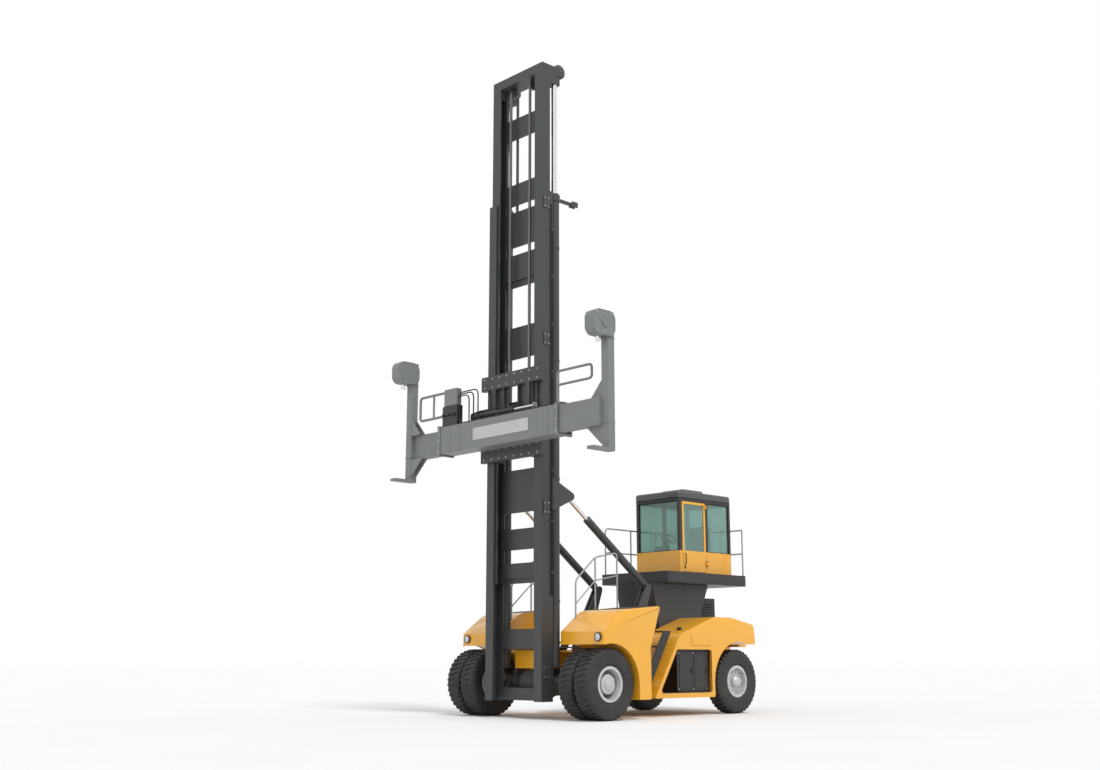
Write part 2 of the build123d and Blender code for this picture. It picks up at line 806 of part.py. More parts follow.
# Tilt cylinders: a barrel on the chassis bracket and a rod to the mast's cheeks
tilt_base_y = aft(tilt_base_aft)
run_y, run_z = tilt_mast_y - tilt_base_y, tilt_mast_height - tilt_base_height
tilt_length = hypot(run_y, run_z)
along_y, along_z = run_y / tilt_length, run_z / tilt_length


def tilt_point(side, distance):
    """A point on a tilt cylinder's line, this far from its base pin."""
    y = tilt_base_y + along_y * distance
    return (side * tilt_x, y, tilt_base_height + along_z * distance)


for name, side in sides.items():
    barrel_end = tilt_length * tilt_barrel_share
    eye_x = spread(side, tilt_x - tilt_eye_width / 2, tilt_x + tilt_eye_width / 2)
    with BuildPart() as barrel:
        shoulder = tilt_point(side, tilt_eye * 3 / 2)
        round_bar(tilt_point(side, tilt_eye * 2 / 3), shoulder, tilt_rod * 5 / 6)
        round_bar(shoulder, tilt_point(side, barrel_end), tilt_radius)
        base_start = (eye_x[0], tilt_base_y, tilt_base_height)
        base_end = (eye_x[1], tilt_base_y, tilt_base_height)
        round_bar(base_start, base_end, tilt_eye)
        bore_start = (eye_x[0] - cut_over * 2, tilt_base_y, tilt_base_height)
        bore_end = (eye_x[1] + cut_over * 2, tilt_base_y, tilt_base_height)
        round_bar(bore_start, bore_end, tilt_pin + pin_clearance, mode=Mode.SUBTRACT)
        bottom = tilt_point(side, 2 * tilt_eye)
        gland = tilt_point(side, barrel_end - tilt_eye)
        round_bar(bottom, gland, tilt_bore, mode=Mode.SUBTRACT)
        mouth = tilt_point(side, barrel_end + cut_over)
        round_bar(gland, mouth, tilt_rod + pin_clearance, mode=Mode.SUBTRACT)
    save(barrel.part, f"tilt_barrel_{name}")
    with BuildPart() as rod:
        start = tilt_point(side, tilt_length * (1 - tilt_barrel_share) * 2)
        round_bar(start, tilt_point(side, tilt_length - tilt_eye / 2), tilt_rod)
        head_start = (eye_x[0], tilt_mast_y, tilt_mast_height)
        head_end = (eye_x[1], tilt_mast_y, tilt_mast_height)
        round_bar(head_start, head_end, tilt_eye)
        bore_start = (eye_x[0] - cut_over, tilt_mast_y, tilt_mast_height)
        bore_end = (eye_x[1] + cut_over, tilt_mast_y, tilt_mast_height)
        round_bar(bore_start, bore_end, tilt_pin + tilt_eye_slack, mode=Mode.SUBTRACT)
    save(rod.part, f"tilt_rod_{name}")

# Tilt brackets: a saddle across the frame with a pair of leaning cheeks for each cylinder
saddle_y = (aft(saddle_front), aft(saddle_back))
saddle_z = (frame_top, frame_top + saddle_tall)
with BuildPart() as tilt_brackets:
    bracket_out = tilt_x + cheek_gap + tilt_cheek
    block((-bracket_out, bracket_out), saddle_y, saddle_z)
    for side in sides.values():
        for near in (tilt_x - cheek_gap - tilt_cheek, tilt_x + cheek_gap):
            cheek_x = spread(side, near, near + tilt_cheek)
            with BuildSketch(Plane.YZ.offset(cheek_x[0])) as plate:
                with Locations((tilt_base_y, tilt_base_height)):
                    Circle(tilt_eye)
                with Locations((sum(saddle_y) / 2, saddle_z[1] - tilt_cheek / 2)):
                    Rectangle(saddle_back - saddle_front, tilt_cheek)
                make_hull()
            extrude(plate.sketch, amount=tilt_cheek)
        pin_x = spread(side, tilt_x - cheek_gap - tilt_cheek, bracket_out)
        pin_start = (pin_x[0], tilt_base_y, tilt_base_height)
        round_bar(pin_start, (pin_x[1], tilt_base_y, tilt_base_height), tilt_pin)
save(tilt_brackets.part, "tilt_brackets")

# Front fenders: hollow wings over the twin tyres, with a skirt behind them
fender_top = [
    (aft(fender_nose), fender_nose_height),
    (aft(fender_shoulder_aft), fender_shoulder_height),
    (aft(fender_tail_aft), fender_tail_height),
]
skirt_front = fender_arch + fender_wall
fender_outline = fender_top + [
    (aft(fender_tail_aft), fender_tail_height - 2 * fender_wall),
    (aft(fender_waist_aft), fender_waist_height),
    (aft(fender_waist_aft), fender_hem),
    (aft(skirt_front), fender_hem),
    (aft(skirt_front), fender_waist_height - 2 * fender_wall),
    (aft(skirt_front - fender_shoulder_aft), fender_under),
    (aft(fender_nose), fender_under),
]
with BuildPart() as front_fenders:
    for side in sides.values():
        hollow_x = spread(side, fender_in + fender_wall, fender_out - fender_wall)
        side_slab(spread(side, fender_in, fender_out), fender_outline)
        with BuildSketch(Plane.YZ.offset(hollow_x[0])) as face:
            with BuildLine():
                Polyline(*fender_outline, close=True)
            make_face()
            offset(amount=-fender_wall, kind=Kind.INTERSECTION)
        extrude(face.sketch, amount=hollow_x[1] - hollow_x[0], mode=Mode.SUBTRACT)
        socket = (side * lamp_x, aft(lamp_aft) + seat, lamp_height)
        mouth = (side * lamp_x, aft(lamp_aft) - lamp_deep - cut_over, lamp_height)
        round_bar(socket, mouth, lamp_radius + seat, mode=Mode.SUBTRACT)
save(front_fenders.part, "front_fenders")

# Decks and outriggers that tie the fenders to the frame
with BuildPart() as fender_decks:
    for side in sides.values():
        deck_x = spread(side, frame_half, fender_in)
        deck_y = (aft(fender_bay_tail), aft(fender_waist_aft))
        block(deck_x, deck_y, (fender_under, fender_under + fender_wall))
        block(deck_x, deck_y, (frame_top - fender_wall, frame_top))
        post_y = (deck_y[1] - fender_wall, deck_y[1])
        block(deck_x, post_y, (frame_top, fender_under))
save(fender_decks.part, "fender_decks")

# Rear body: a hollow wing on each side with an open window ahead of the wheel arch
arch_foot = (aft(wheelbase) - wheel_arch, body_hem)
arch_rise = body_tail_under - axle_height
arch_back = aft(wheelbase) + (wheel_arch**2 - arch_rise**2) ** 0.5
body_front = [
    (aft(body_toe_aft), body_hem),
    (aft(body_brow_aft), body_brow_height),
    (aft(body_crown_aft), body_crown_height),
    (aft(body_tail_aft), body_tail_height),
    (aft(body_tail_aft), body_tail_under),
    (arch_back, body_tail_under),
]


def body_slab(x, inset, mode):
    """The rear body's side outline, drawn in by a wall and carried between two X limits."""
    with BuildSketch(Plane.YZ.offset(x[0])) as face:
        with BuildLine():
            Polyline(*body_front)
            crown = (aft(wheelbase), axle_height + wheel_arch)
            spring = (aft(wheelbase) - wheel_arch, axle_height)
            ThreePointArc((arch_back, body_tail_under), crown, spring)
            Polyline(spring, arch_foot, body_front[0])
        make_face()
        if inset:
            offset(amount=-inset, kind=Kind.INTERSECTION)
    extrude(face.sketch, amount=x[1] - x[0], mode=mode)


with BuildPart() as rear_body:
    for side in sides.values():
        outer_x = spread(side, frame_half, body_half)
        hollow_x = spread(side, frame_half - cut_over, body_half - body_wall)
        body_slab(outer_x, 0, Mode.ADD)
        body_slab(hollow_x, body_wall, Mode.SUBTRACT)
        lean = (body_brow_aft - body_toe_aft) / (body_brow_height - body_hem)
        window_low = body_hem + window_edge
        window_high = body_brow_height - 3 * window_edge
        post = aft(wheelbase) - wheel_arch - window_edge
        window = [
            (aft(body_toe_aft + lean * window_edge + window_edge), window_low),
            (aft(body_toe_aft + lean * (window_high - body_hem) + window_edge), window_high),
            (post, window_high),
            (post, window_low),
        ]
        side_slab(spread(side, body_half - 2 * body_wall, body_half + cut_over), window, Mode.SUBTRACT)
save(rear_body.part, "rear_body")

with BuildPart() as side_tanks:
    for side in sides.values():
        tank_in, tank_out = frame_half + body_wall, body_half - 2 * body_wall
        tank_front = aft(body_brow_aft)
        block(
            spread(side, tank_in, tank_out),
            (tank_front, post),
            (body_hem + body_wall, window_high),
        )
save(side_tanks.part, "side_tanks")

# Counterweight between the rear wings, with the tow clevis on its back
with BuildPart() as counterweight:
    weight_back = aft(weight_aft)
    block((-frame_half, frame_half), (aft(frame_tail), weight_back), (weight_low, weight_high))
    for step in (-1, 1):
        near = clevis_height + step * clevis_gap / 2
        low, high = sorted((near, near + step * clevis_plate))
        block((-clevis_half, clevis_half), (weight_back, aft(tail_reach)), (low, high))
    bore_y = aft(tail_reach - clevis_tip)
    under = clevis_height - clevis_gap
    bore_low = (0, bore_y, under)
    bore_high = (0, bore_y, clevis_height + clevis_gap)
    round_bar(bore_low, bore_high, clevis_bore, mode=Mode.SUBTRACT)
save(counterweight.part, "counterweight")

# Engine block on the frame's cross plate, and the hood behind the tower
with BuildPart() as engine:
    engine_seat = aft((belly_front + frame_belly_tail) / 2 - engine_half + frame_plate)
    block((-engine_half, engine_half), (engine_seat, aft(engine_back)), (engine_low, engine_high))
save(engine.part, "engine")

with BuildPart() as hood:
    hood_y = (aft(hood_front), aft(hood_back))
    inside_y = (hood_y[0] + hood_wall, hood_y[1] - hood_wall)
    block((-hood_half, hood_half), hood_y, (weight_high, hood_high))
    block(
        (-hood_half + hood_wall, hood_half - hood_wall),
        inside_y,
        (weight_high - cut_over, hood_high - hood_wall),
        mode=Mode.SUBTRACT,
    )
save(hood.part, "hood")

# Cab tower: two flared side plates and two webs on the frame, carrying the platform
tower_outline = [
    (aft(tower_foot_front), frame_top),
    (aft(tower_foot_back), frame_top),
    (aft(tower_top_back), platform_low),
    (aft(tower_top_front), platform_low),
]
with BuildPart() as cab_tower:
    for side in sides.values():
        side_slab(spread(side, frame_half - tower_plate, frame_half), tower_outline)
    web = [
        (aft(tower_foot_front), frame_top),
        (aft(tower_foot_front + tower_plate), frame_top),
        (aft(tower_top_front + tower_plate), platform_low),
        (aft(tower_top_front), platform_low),
    ]
    side_slab((-frame_half + tower_plate, frame_half - tower_plate), web)
save(cab_tower.part, "cab_tower")

with BuildPart() as platform:
    platform_y = (aft(platform_front), aft(platform_back))
    block((-platform_half, platform_half), platform_y, (platform_low, platform_high))
save(platform.part, "platform")

# Cab: a yellow tub with the doorway cut out, black posts, dark roof, panes and the door
cab_x = (-cab_half, cab_half)
cab_y = (aft(cab_front), aft(cab_back))
door_y = (aft(door_front), aft(door_back))
doorway_y = (door_y[0] - door_gap, door_y[1] + door_gap)
with BuildPart() as cab_tub:
    block(cab_x, cab_y, (platform_high, cab_sill))
    room_x = (-cab_half + cab_wall, cab_half - cab_wall)
    room_y = (cab_y[0] + cab_wall, cab_y[1] - cab_wall)
    block(room_x, room_y, (platform_high + cab_floor, cab_sill + cut_over), mode=Mode.SUBTRACT)
    doorway_x = (cab_half - cab_wall - cut_over, cab_half + cut_over)
    block(doorway_x, doorway_y, (door_foot - door_gap, cab_sill + cut_over), mode=Mode.SUBTRACT)
save(cab_tub.part, "cab_tub")

rear_post = aft(cab_back) - cab_post
with BuildPart() as cab_frame:
    for side in sides.values():
        post_x = spread(side, cab_half - cab_post, cab_half)
        for low in (cab_y[0], rear_post, doorway_y[1]):
            block(post_x, (low, low + cab_post), (cab_sill, cab_eaves))
        rail_y = (cab_y[0] + cab_post, rear_post)
        block(post_x, rail_y, (cab_eaves - cab_post, cab_eaves))
    for low in (cab_y[0], rear_post):
        head_x = (-cab_half + cab_post, cab_half - cab_post)
        block(head_x, (low, low + cab_post), (cab_eaves - cab_post, cab_eaves))
save(cab_frame.part, "cab_frame")

# Door hinges: pins held by lugs on the post and tub, inside the door's knuckles
hinge_x, hinge_y = cab_half + hinge_out, door_y[1]
with BuildPart() as hinges:
    for low in hinge_heights:
        high = low + hinge_tall
        pin_low = low - hinge_radius
        pin_high = high + hinge_radius
        round_bar((hinge_x, hinge_y, pin_low), (hinge_x, hinge_y, pin_high), hinge_pin)
        for z in ((pin_low, low - seat), (high + seat, pin_high)):
            lug_x = (cab_half, hinge_x + hinge_pin)
            block(lug_x, (hinge_y - hinge_pin, doorway_y[1] + cab_post / 2), z)
save(hinges.part, "door_hinges")

with BuildPart() as roof:
    block(cab_x, cab_y, (cab_eaves, cab_roof))
    chamfer(roof.part.faces().sort_by(Axis.Z)[-1].edges(), length=cab_post)
save(roof.part, "cab_roof")

pane_z = (cab_sill, cab_eaves - cab_post)
pane_in = cab_half - cab_post / 2
door_post = doorway_y[1] + cab_post
with BuildPart() as glass:
    for side in sides.values():
        pane_x = spread(side, pane_in, pane_in + cab_glass)
        block(pane_x, (door_post, rear_post), pane_z)
    far_x = spread(-1, pane_in, pane_in + cab_glass)
    block(far_x, (cab_y[0] + cab_post, doorway_y[1]), pane_z)
    for low in (cab_y[0] + cab_post / 2, rear_post + cab_post / 2):
        block((-cab_half + cab_post, cab_half - cab_post), (low, low + cab_glass), pane_z)
save(glass.part, "cab_glass")

door_x = (cab_half - cab_wall, cab_half)
door_z = (door_foot, cab_eaves - cab_post - door_gap)
stile = cab_post * 3 / 4
with BuildPart() as door:
    block(door_x, door_y, door_z)
    for low in hinge_heights:
        high = low + hinge_tall
        round_bar((hinge_x, hinge_y, low), (hinge_x, hinge_y, high), hinge_radius)
        leaf_y = (hinge_y - stile, hinge_y)
        block((cab_half, cab_half + hinge_pin), leaf_y, (low, high))
        block((cab_half, hinge_x), (hinge_y - hinge_pin, hinge_y), (low, high))
        over, under = high + cut_over, low - cut_over
        bore = hinge_pin + pin_clearance
        round_bar((hinge_x, hinge_y, under), (hinge_x, hinge_y, over), bore, mode=Mode.SUBTRACT)
    light_y = (door_y[0] + stile, door_y[1] - stile)
    light_z = (cab_sill, door_z[1] - stile)
    block((door_x[0] - cut_over, door_x[1] + cut_over), light_y, light_z, mode=Mode.SUBTRACT)
save(door.part, "cab_door")

with BuildPart() as door_glass:
    glass_x = ((door_x[0] + door_x[1]) / 2, (door_x[0] + door_x[1]) / 2 + cab_glass)
    block(glass_x, light_y, light_z)
save(door_glass.part, "door_glass")

with BuildPart() as seat_unit:
    middle = (cab_y[0] + cab_y[1]) / 2
    floor_top = platform_high + cab_floor
    block((-cab_half / 2.6, cab_half / 2.6), (middle, middle + cab_half), (floor_top, cab_sill))
    back_y = (middle + cab_half * 0.8, middle + cab_half)
    block((-cab_half / 2.6, cab_half / 2.6), back_y, (cab_sill, cab_sill + cab_half))
    block((-cab_half / 4, cab_half / 4), (room_y[0], room_y[0] + cab_half / 3), (floor_top, cab_sill))
save(seat_unit.part, "seat_unit")

# Steps on both sides: treads between leaning stringers, and the deck above them
with BuildPart() as steps:
    for side in sides.values():
        rise = tread_pitch_up * (tread_count - 1)
        run = tread_pitch_aft * (tread_count - 1)
        for count in range(tread_count):
            y = aft(tread_front + tread_pitch_aft * count)
            z = tread_low + tread_pitch_up * count
            tread_x = spread(side, step_in + stringer, step_out - stringer)
            block(tread_x, (y, y + tread_deep), (z, z + tread_thick))
        slope = [
            (aft(tread_front), tread_low - tread_thick),
            (aft(tread_front + run), tread_low + rise + tread_thick),
            (aft(tread_front + run + tread_deep), tread_low + rise + tread_thick),
            (aft(tread_front + tread_deep), tread_low - tread_thick),
        ]
        for near in (step_in, step_out - stringer):
            side_slab(spread(side, near, near + stringer), slope)
        stay_z = (tread_low + tread_pitch_up, tread_low + tread_pitch_up + 2 * tread_thick)
        stay_y = aft(tread_front + tread_pitch_aft) + tread_deep / 2
        block(spread(side, frame_half, step_in), (stay_y, stay_y + tread_thick), stay_z)
save(steps.part, "side_steps")

# Rails at the platform's back and lamps in the fenders' slope
with BuildPart() as rails:
    rail_x = platform_half - 2 * rail_radius
    rail_y = aft(platform_back) - 2 * rail_radius
    for z in rail_heights:
        round_bar((-rail_x, rail_y, z), (rail_x, rail_y, z), rail_radius)
    for side in sides.values():
        post_top = (side * rail_x, rail_y, rail_heights[1])
        round_bar((side * rail_x, rail_y, platform_high), post_top, rail_radius)
save(rails.part, "platform_rails")

with BuildPart() as lamps:
    for side in sides.values():
        start = (side * lamp_x, aft(lamp_aft), lamp_height)
        round_bar(start, (side * lamp_x, aft(lamp_aft) - lamp_deep, lamp_height), lamp_radius)
save(lamps.part, "head_lamps")
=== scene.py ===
"""An empty container handler: its looks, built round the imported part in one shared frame."""

import math

import bmesh
import bpy
from mathutils import Matrix, Vector


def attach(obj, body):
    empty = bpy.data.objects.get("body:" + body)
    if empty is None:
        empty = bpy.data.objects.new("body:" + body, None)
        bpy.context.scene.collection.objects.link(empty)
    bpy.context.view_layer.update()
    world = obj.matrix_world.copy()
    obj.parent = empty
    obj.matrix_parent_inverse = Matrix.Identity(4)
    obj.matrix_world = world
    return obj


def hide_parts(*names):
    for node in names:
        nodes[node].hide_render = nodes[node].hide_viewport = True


bl_info = {
    "name": "Empty container handler",
    "version": (1, 0, 0),
    "blender": (4, 5, 0),
    "location": "3D View > Sidebar > Handler",
    "description": "Dresses a packed container handler with its finishes and small pieces",
    "category": "Object",
}

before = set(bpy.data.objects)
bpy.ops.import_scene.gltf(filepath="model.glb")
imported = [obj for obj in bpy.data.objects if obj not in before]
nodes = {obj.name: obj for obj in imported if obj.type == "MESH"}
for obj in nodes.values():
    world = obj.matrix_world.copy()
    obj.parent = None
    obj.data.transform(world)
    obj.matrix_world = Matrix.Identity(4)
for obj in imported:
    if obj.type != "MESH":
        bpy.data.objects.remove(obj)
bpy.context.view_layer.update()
SIDES = {"left": 1, "right": -1}


# Sizes and colours that a user would change


def colour(text, value):
    """A colour property with a name and its default, as light is mixed."""
    return bpy.props.FloatVectorProperty(
        name=text, description=f"{text} of the machine", subtype="COLOR", size=3,
        min=0.0, max=1.0, default=value,
    )


def length(text, value, about):
    """A length property in metres."""
    return bpy.props.FloatProperty(name=text, description=about, subtype="DISTANCE", default=value)


class HandlerPaint(bpy.types.PropertyGroup):
    """Colours of the painted and moulded surfaces."""

    body: colour("Body yellow", (0.86, 0.41, 0.02))
    mast: colour("Mast grey", (0.040, 0.043, 0.045))
    spreader: colour("Spreader grey", (0.19, 0.205, 0.195))
    chassis: colour("Axle black", (0.018, 0.018, 0.019))
    roof: colour("Roof grey", (0.055, 0.06, 0.062))
    rim: colour("Rim silver", (0.56, 0.57, 0.58))
    glass: colour("Glass tint", (0.40, 0.62, 0.56))
    rubber: colour("Tyre black", (0.017, 0.017, 0.017))


class HandlerSizes(bpy.types.PropertyGroup):
    """Sizes of the small pieces added to the machine."""

    tread_deep: length("Tread depth", 0.022, "Height of a tyre's lugs")
    bolt: length("Bolt radius", 0.016, "Radius of the larger bolt heads")
    hose: length("Hose radius", 0.014, "Radius of the hydraulic hoses")


def paint():
    return bpy.context.scene.handler_paint


def sizes():
    return bpy.context.scene.handler_sizes


# Node trees


def group_tree(name, inputs, outputs):
    """An empty shader group with named sockets, and its two end nodes."""
    tree = bpy.data.node_groups.new(name, "ShaderNodeTree")
    for text, kind, value in inputs:
        socket = tree.interface.new_socket(name=text, in_out="INPUT", socket_type=kind)
        if value is not None:
            socket.default_value = value
    for text, kind in outputs:
        tree.interface.new_socket(name=text, in_out="OUTPUT", socket_type=kind)
    return tree, tree.nodes.new("NodeGroupInput"), tree.nodes.new("NodeGroupOutput")


FLOAT, COLOUR, VECTOR = "NodeSocketFloat", "NodeSocketColor", "NodeSocketVector"


def add(tree, kind, **values):
    """A node with attributes and socket values set."""
    node = tree.nodes.new(kind)
    for key, value in values.items():
        if hasattr(node, key):
            setattr(node, key, value)
        else:
            node.inputs[key.replace("_", " ").title()].default_value = value
    return node


def noise(tree, place, scale, detail=4.0, rough=0.55):
    """A noise texture on object coordinates."""
    node = add(tree, "ShaderNodeTexNoise")
    node.inputs["Scale"].default_value = scale
    node.inputs["Detail"].default_value = detail
    node.inputs["Roughness"].default_value = rough
    tree.links.new(place, node.inputs["Vector"])
    return node.outputs["Fac"]


def ramp(tree, value, low, high, to_low=0.0, to_high=1.0):
    """A clamped straight line from one range to another."""
    node = add(tree, "ShaderNodeMapRange")
    for key, number in zip(("From Min", "From Max", "To Min", "To Max"), (low, high, to_low, to_high)):
        node.inputs[key].default_value = number
    tree.links.new(value, node.inputs["Value"])
    return node.outputs["Result"]


def math_node(tree, how, first, second):
    """One sum on two sockets or numbers."""
    node = add(tree, "ShaderNodeMath", operation=how)
    for count, value in enumerate((first, second)):
        if isinstance(value, (int, float)):
            node.inputs[count].default_value = value
        else:
            tree.links.new(value, node.inputs[count])
    return node.outputs["Value"]


def mix_colour(tree, mask, first, second):
    """One colour laid over another by a mask."""
    node = add(tree, "ShaderNodeMix", data_type="RGBA")
    tree.links.new(mask, node.inputs["Factor"])
    for socket, value in ((node.inputs[6], first), (node.inputs[7], second)):
        if isinstance(value, tuple):
            socket.default_value = (*value, 1.0)
        else:
            tree.links.new(value, socket)
    return node.outputs[2]


def raise_surface(tree, shader, height, strength, distance):
    """Bump from a height mask on a material's surface."""
    lift = add(tree, "ShaderNodeBump")
    lift.inputs["Strength"].default_value = strength
    lift.inputs["Distance"].default_value = distance
    tree.links.new(height, lift.inputs["Height"])
    tree.links.new(lift.outputs["Normal"], shader.inputs["Normal"])


def grime_group():
    """Dust that settles low down and in patches, over a base colour."""
    tree, start, end = group_tree(
        "Working dirt",
        [
            ("Base", COLOUR, (0.5, 0.5, 0.5, 1.0)),
            ("Dirt", COLOUR, (0.09, 0.075, 0.055, 1.0)),
            ("Place", VECTOR, None),
            ("Amount", FLOAT, 0.3),
            ("Gloss", FLOAT, 0.35),
        ],
        [("Colour", COLOUR), ("Roughness", FLOAT), ("Height", FLOAT)],
    )
    place = start.outputs["Place"]
    split = add(tree, "ShaderNodeSeparateXYZ")
    tree.links.new(place, split.inputs[0])
    low_down = ramp(tree, split.outputs["Z"], 2.2, 0.2)
    patches = ramp(tree, noise(tree, place, 1.7, 6.0, 0.62), 0.46, 0.70)
    streaks = ramp(tree, noise(tree, place, 9.0, 5.0, 0.7), 0.52, 0.72)
    shade = math_node(tree, "MULTIPLY", math_node(tree, "ADD", low_down, 0.25), patches)
    mask = math_node(tree, "MULTIPLY", math_node(tree, "ADD", shade, streaks), start.outputs["Amount"])
    clamp = math_node(tree, "MINIMUM", mask, 0.85)
    soiled = mix_colour(tree, clamp, start.outputs["Base"], start.outputs["Dirt"])
    tree.links.new(soiled, end.inputs["Colour"])
    fine = ramp(tree, noise(tree, place, 60.0, 3.0), 0.3, 0.7, -0.04, 0.05)
    rough = math_node(tree, "ADD", start.outputs["Gloss"], math_node(tree, "MULTIPLY", clamp, 0.45))
    tree.links.new(math_node(tree, "ADD", rough, fine), end.inputs["Roughness"])
    grain = math_node(tree, "MULTIPLY", noise(tree, place, 220.0, 2.0), 0.25)
    wave = math_node(tree, "ADD", grain, noise(tree, place, 3.0, 2.0))
    tree.links.new(wave, end.inputs["Height"])
    return tree


def chips_group():
    """Small scratches and chips that show a second colour."""
    tree, start, end = group_tree(
        "Chipped paint",
        [
            ("Over", COLOUR, (0.5, 0.5, 0.5, 1.0)),
            ("Under", COLOUR, (0.10, 0.09, 0.085, 1.0)),
            ("Place", VECTOR, None),
            ("Amount", FLOAT, 0.5),
        ],
        [("Colour", COLOUR), ("Mask", FLOAT)],
    )
    place = start.outputs["Place"]
    stretch = add(tree, "ShaderNodeMapping")
    stretch.inputs["Scale"].default_value = (1.0, 1.0, 0.35)
    tree.links.new(place, stretch.inputs["Vector"])
    spots = ramp(tree, noise(tree, stretch.outputs[0], 26.0, 8.0, 0.72), 0.655, 0.68)
    where = ramp(tree, noise(tree, place, 1.3, 3.0), 0.5, 0.66)
    mask = math_node(tree, "MULTIPLY", math_node(tree, "MULTIPLY", spots, where), start.outputs["Amount"])
    worn = mix_colour(tree, mask, start.outputs["Over"], start.outputs["Under"])
    tree.links.new(worn, end.inputs["Colour"])
    tree.links.new(mask, end.inputs["Mask"])
    return tree


def material(name, build):
    """A node material made once by its own builder."""
    if name in bpy.data.materials:
        return bpy.data.materials[name]
    made = bpy.data.materials.new(name)
    made.use_nodes = True
    tree = made.node_tree
    shader = tree.nodes["Principled BSDF"]
    build(tree, shader)
    return made


def object_place(tree):
    return add(tree, "ShaderNodeTexCoord").outputs["Object"]


def use_group(tree, group, **values):
    """A shader group placed in a material, its sockets set or linked."""
    node = tree.nodes.new("ShaderNodeGroup")
    node.node_tree = bpy.data.node_groups[group]
    for key, value in values.items():
        socket = node.inputs[key]
        if isinstance(value, bpy.types.NodeSocket):
            tree.links.new(value, socket)
        else:
            socket.default_value = (*value, 1.0) if isinstance(value, (tuple, list)) else value
    return node


def finish(name, base, gloss, dirt=0.3, chips=0.0, under=(0.10, 0.09, 0.085), metal=0.0, bump=0.05,
           coat=0.0, speck=0.5):
    """A worn hard finish: dirt, chips, a little waviness and its own gloss."""

    def build(tree, shader):
        place = object_place(tree)
        over = use_group(tree, "Chipped paint", Over=tuple(base), Under=under, Place=place, Amount=chips)
        worn = use_group(
            tree, "Working dirt", Base=over.outputs["Colour"], Place=place, Amount=dirt, Gloss=gloss
        )
        tree.links.new(worn.outputs["Colour"], shader.inputs["Base Color"])
        tree.links.new(worn.outputs["Roughness"], shader.inputs["Roughness"])
        raise_surface(tree, shader, worn.outputs["Height"], bump, 0.004)
        shader.inputs["Metallic"].default_value = metal
        shader.inputs["Specular IOR Level"].default_value = speck
        shader.inputs["Coat Weight"].default_value = coat
        shader.inputs["Coat Roughness"].default_value = 0.12

    return material(name, build)


def yellow_paint():
    return finish("Body yellow paint", paint().body, 0.28, dirt=0.10, chips=0.25, coat=0.5, bump=0.04)


def mast_paint():
    return finish("Mast grey paint", paint().mast, 0.42, dirt=0.16, chips=0.5, bump=0.08)


def spreader_paint():
    return finish("Spreader grey paint", paint().spreader, 0.45, dirt=0.22, chips=0.6, bump=0.08)


def black_paint():
    return finish("Black enamel", paint().chassis, 0.40, dirt=0.22, chips=0.3, bump=0.06)


def axle_paint():
    return finish("Axle casting paint", (0.03, 0.03, 0.032), 0.55, dirt=0.5, chips=0.2, bump=0.25)


def roof_paint():
    return finish("Cab roof paint", paint().roof, 0.38, dirt=0.12, chips=0.1, coat=0.2)


def rim_paint():
    return finish("Rim silver paint", paint().rim, 0.36, dirt=0.28, chips=0.3, metal=0.25, bump=0.05)


def rod_steel():
    return finish("Ground rod steel", (0.72, 0.73, 0.75), 0.12, dirt=0.06, metal=1.0, bump=0.01)


def chain_steel():
    return finish("Oiled chain steel", (0.16, 0.155, 0.15), 0.38, dirt=0.35, metal=0.8, bump=0.1)


def rail_steel():
    return finish("Rail grey paint", (0.34, 0.35, 0.36), 0.4, dirt=0.15, chips=0.3)


def tyre_rubber():
    """Rubber with fine moulding marks and pale dust in its low parts."""

    def build(tree, shader):
        place = object_place(tree)
        worn = use_group(
            tree, "Working dirt", Base=tuple(paint().rubber), Dirt=(0.10, 0.09, 0.075), Place=place,
            Amount=0.30, Gloss=0.62,
        )
        tree.links.new(worn.outputs["Colour"], shader.inputs["Base Color"])
        tree.links.new(worn.outputs["Roughness"], shader.inputs["Roughness"])
        raise_surface(tree, shader, noise(tree, place, 140.0, 4.0), 0.25, 0.003)

    return material("Tyre rubber", build)


def window_glass():
    """Tinted glass with a faint film of dust."""

    def build(tree, shader):
        place = object_place(tree)
        film = ramp(tree, noise(tree, place, 4.0, 5.0), 0.35, 0.75, 0.02, 0.10)
        tree.links.new(film, shader.inputs["Roughness"])
        tint = mix_colour(tree, film, tuple(paint().glass), (0.55, 0.62, 0.58))
        tree.links.new(tint, shader.inputs["Base Color"])
        shader.inputs["Transmission Weight"].default_value = 0.75
        shader.inputs["IOR"].default_value = 1.45

    return material("Cab window glass", build)


def moulding():
    return finish("Black moulding", (0.012, 0.012, 0.013), 0.55, dirt=0.12, bump=0.12, speck=0.4)


def zinc_steel():
    return finish("Zinc plated steel", (0.46, 0.46, 0.45), 0.34, dirt=0.25, metal=0.9, bump=0.03)


def pale_panel():
    return finish("Pale panel paint", (0.50, 0.51, 0.50), 0.45, dirt=0.18, chips=0.15)


def engine_paint():
    return finish("Engine block paint", (0.055, 0.06, 0.065), 0.5, dirt=0.45, bump=0.2)


def exhaust_steel():
    return finish("Heated exhaust steel", (0.12, 0.095, 0.075), 0.6, dirt=0.4, metal=0.6, bump=0.15)


def lens(name, tint, glow):
    """A ribbed lamp lens."""

    def build(tree, shader):
        place = object_place(tree)
        bands = add(tree, "ShaderNodeTexWave")
        bands.inputs["Scale"].default_value = 28.0
        tree.links.new(place, bands.inputs["Vector"])
        raise_surface(tree, shader, bands.outputs["Fac"], 0.4, 0.002)
        shade = mix_colour(tree, bands.outputs["Fac"], tint, tuple(0.8 * part for part in tint))
        tree.links.new(shade, shader.inputs["Base Color"])
        shader.inputs["Roughness"].default_value = 0.12
        shader.inputs["Coat Weight"].default_value = glow

    return material(name, build)


def clear_lens():
    return lens("Clear lamp lens", (0.62, 0.64, 0.66), 0.6)


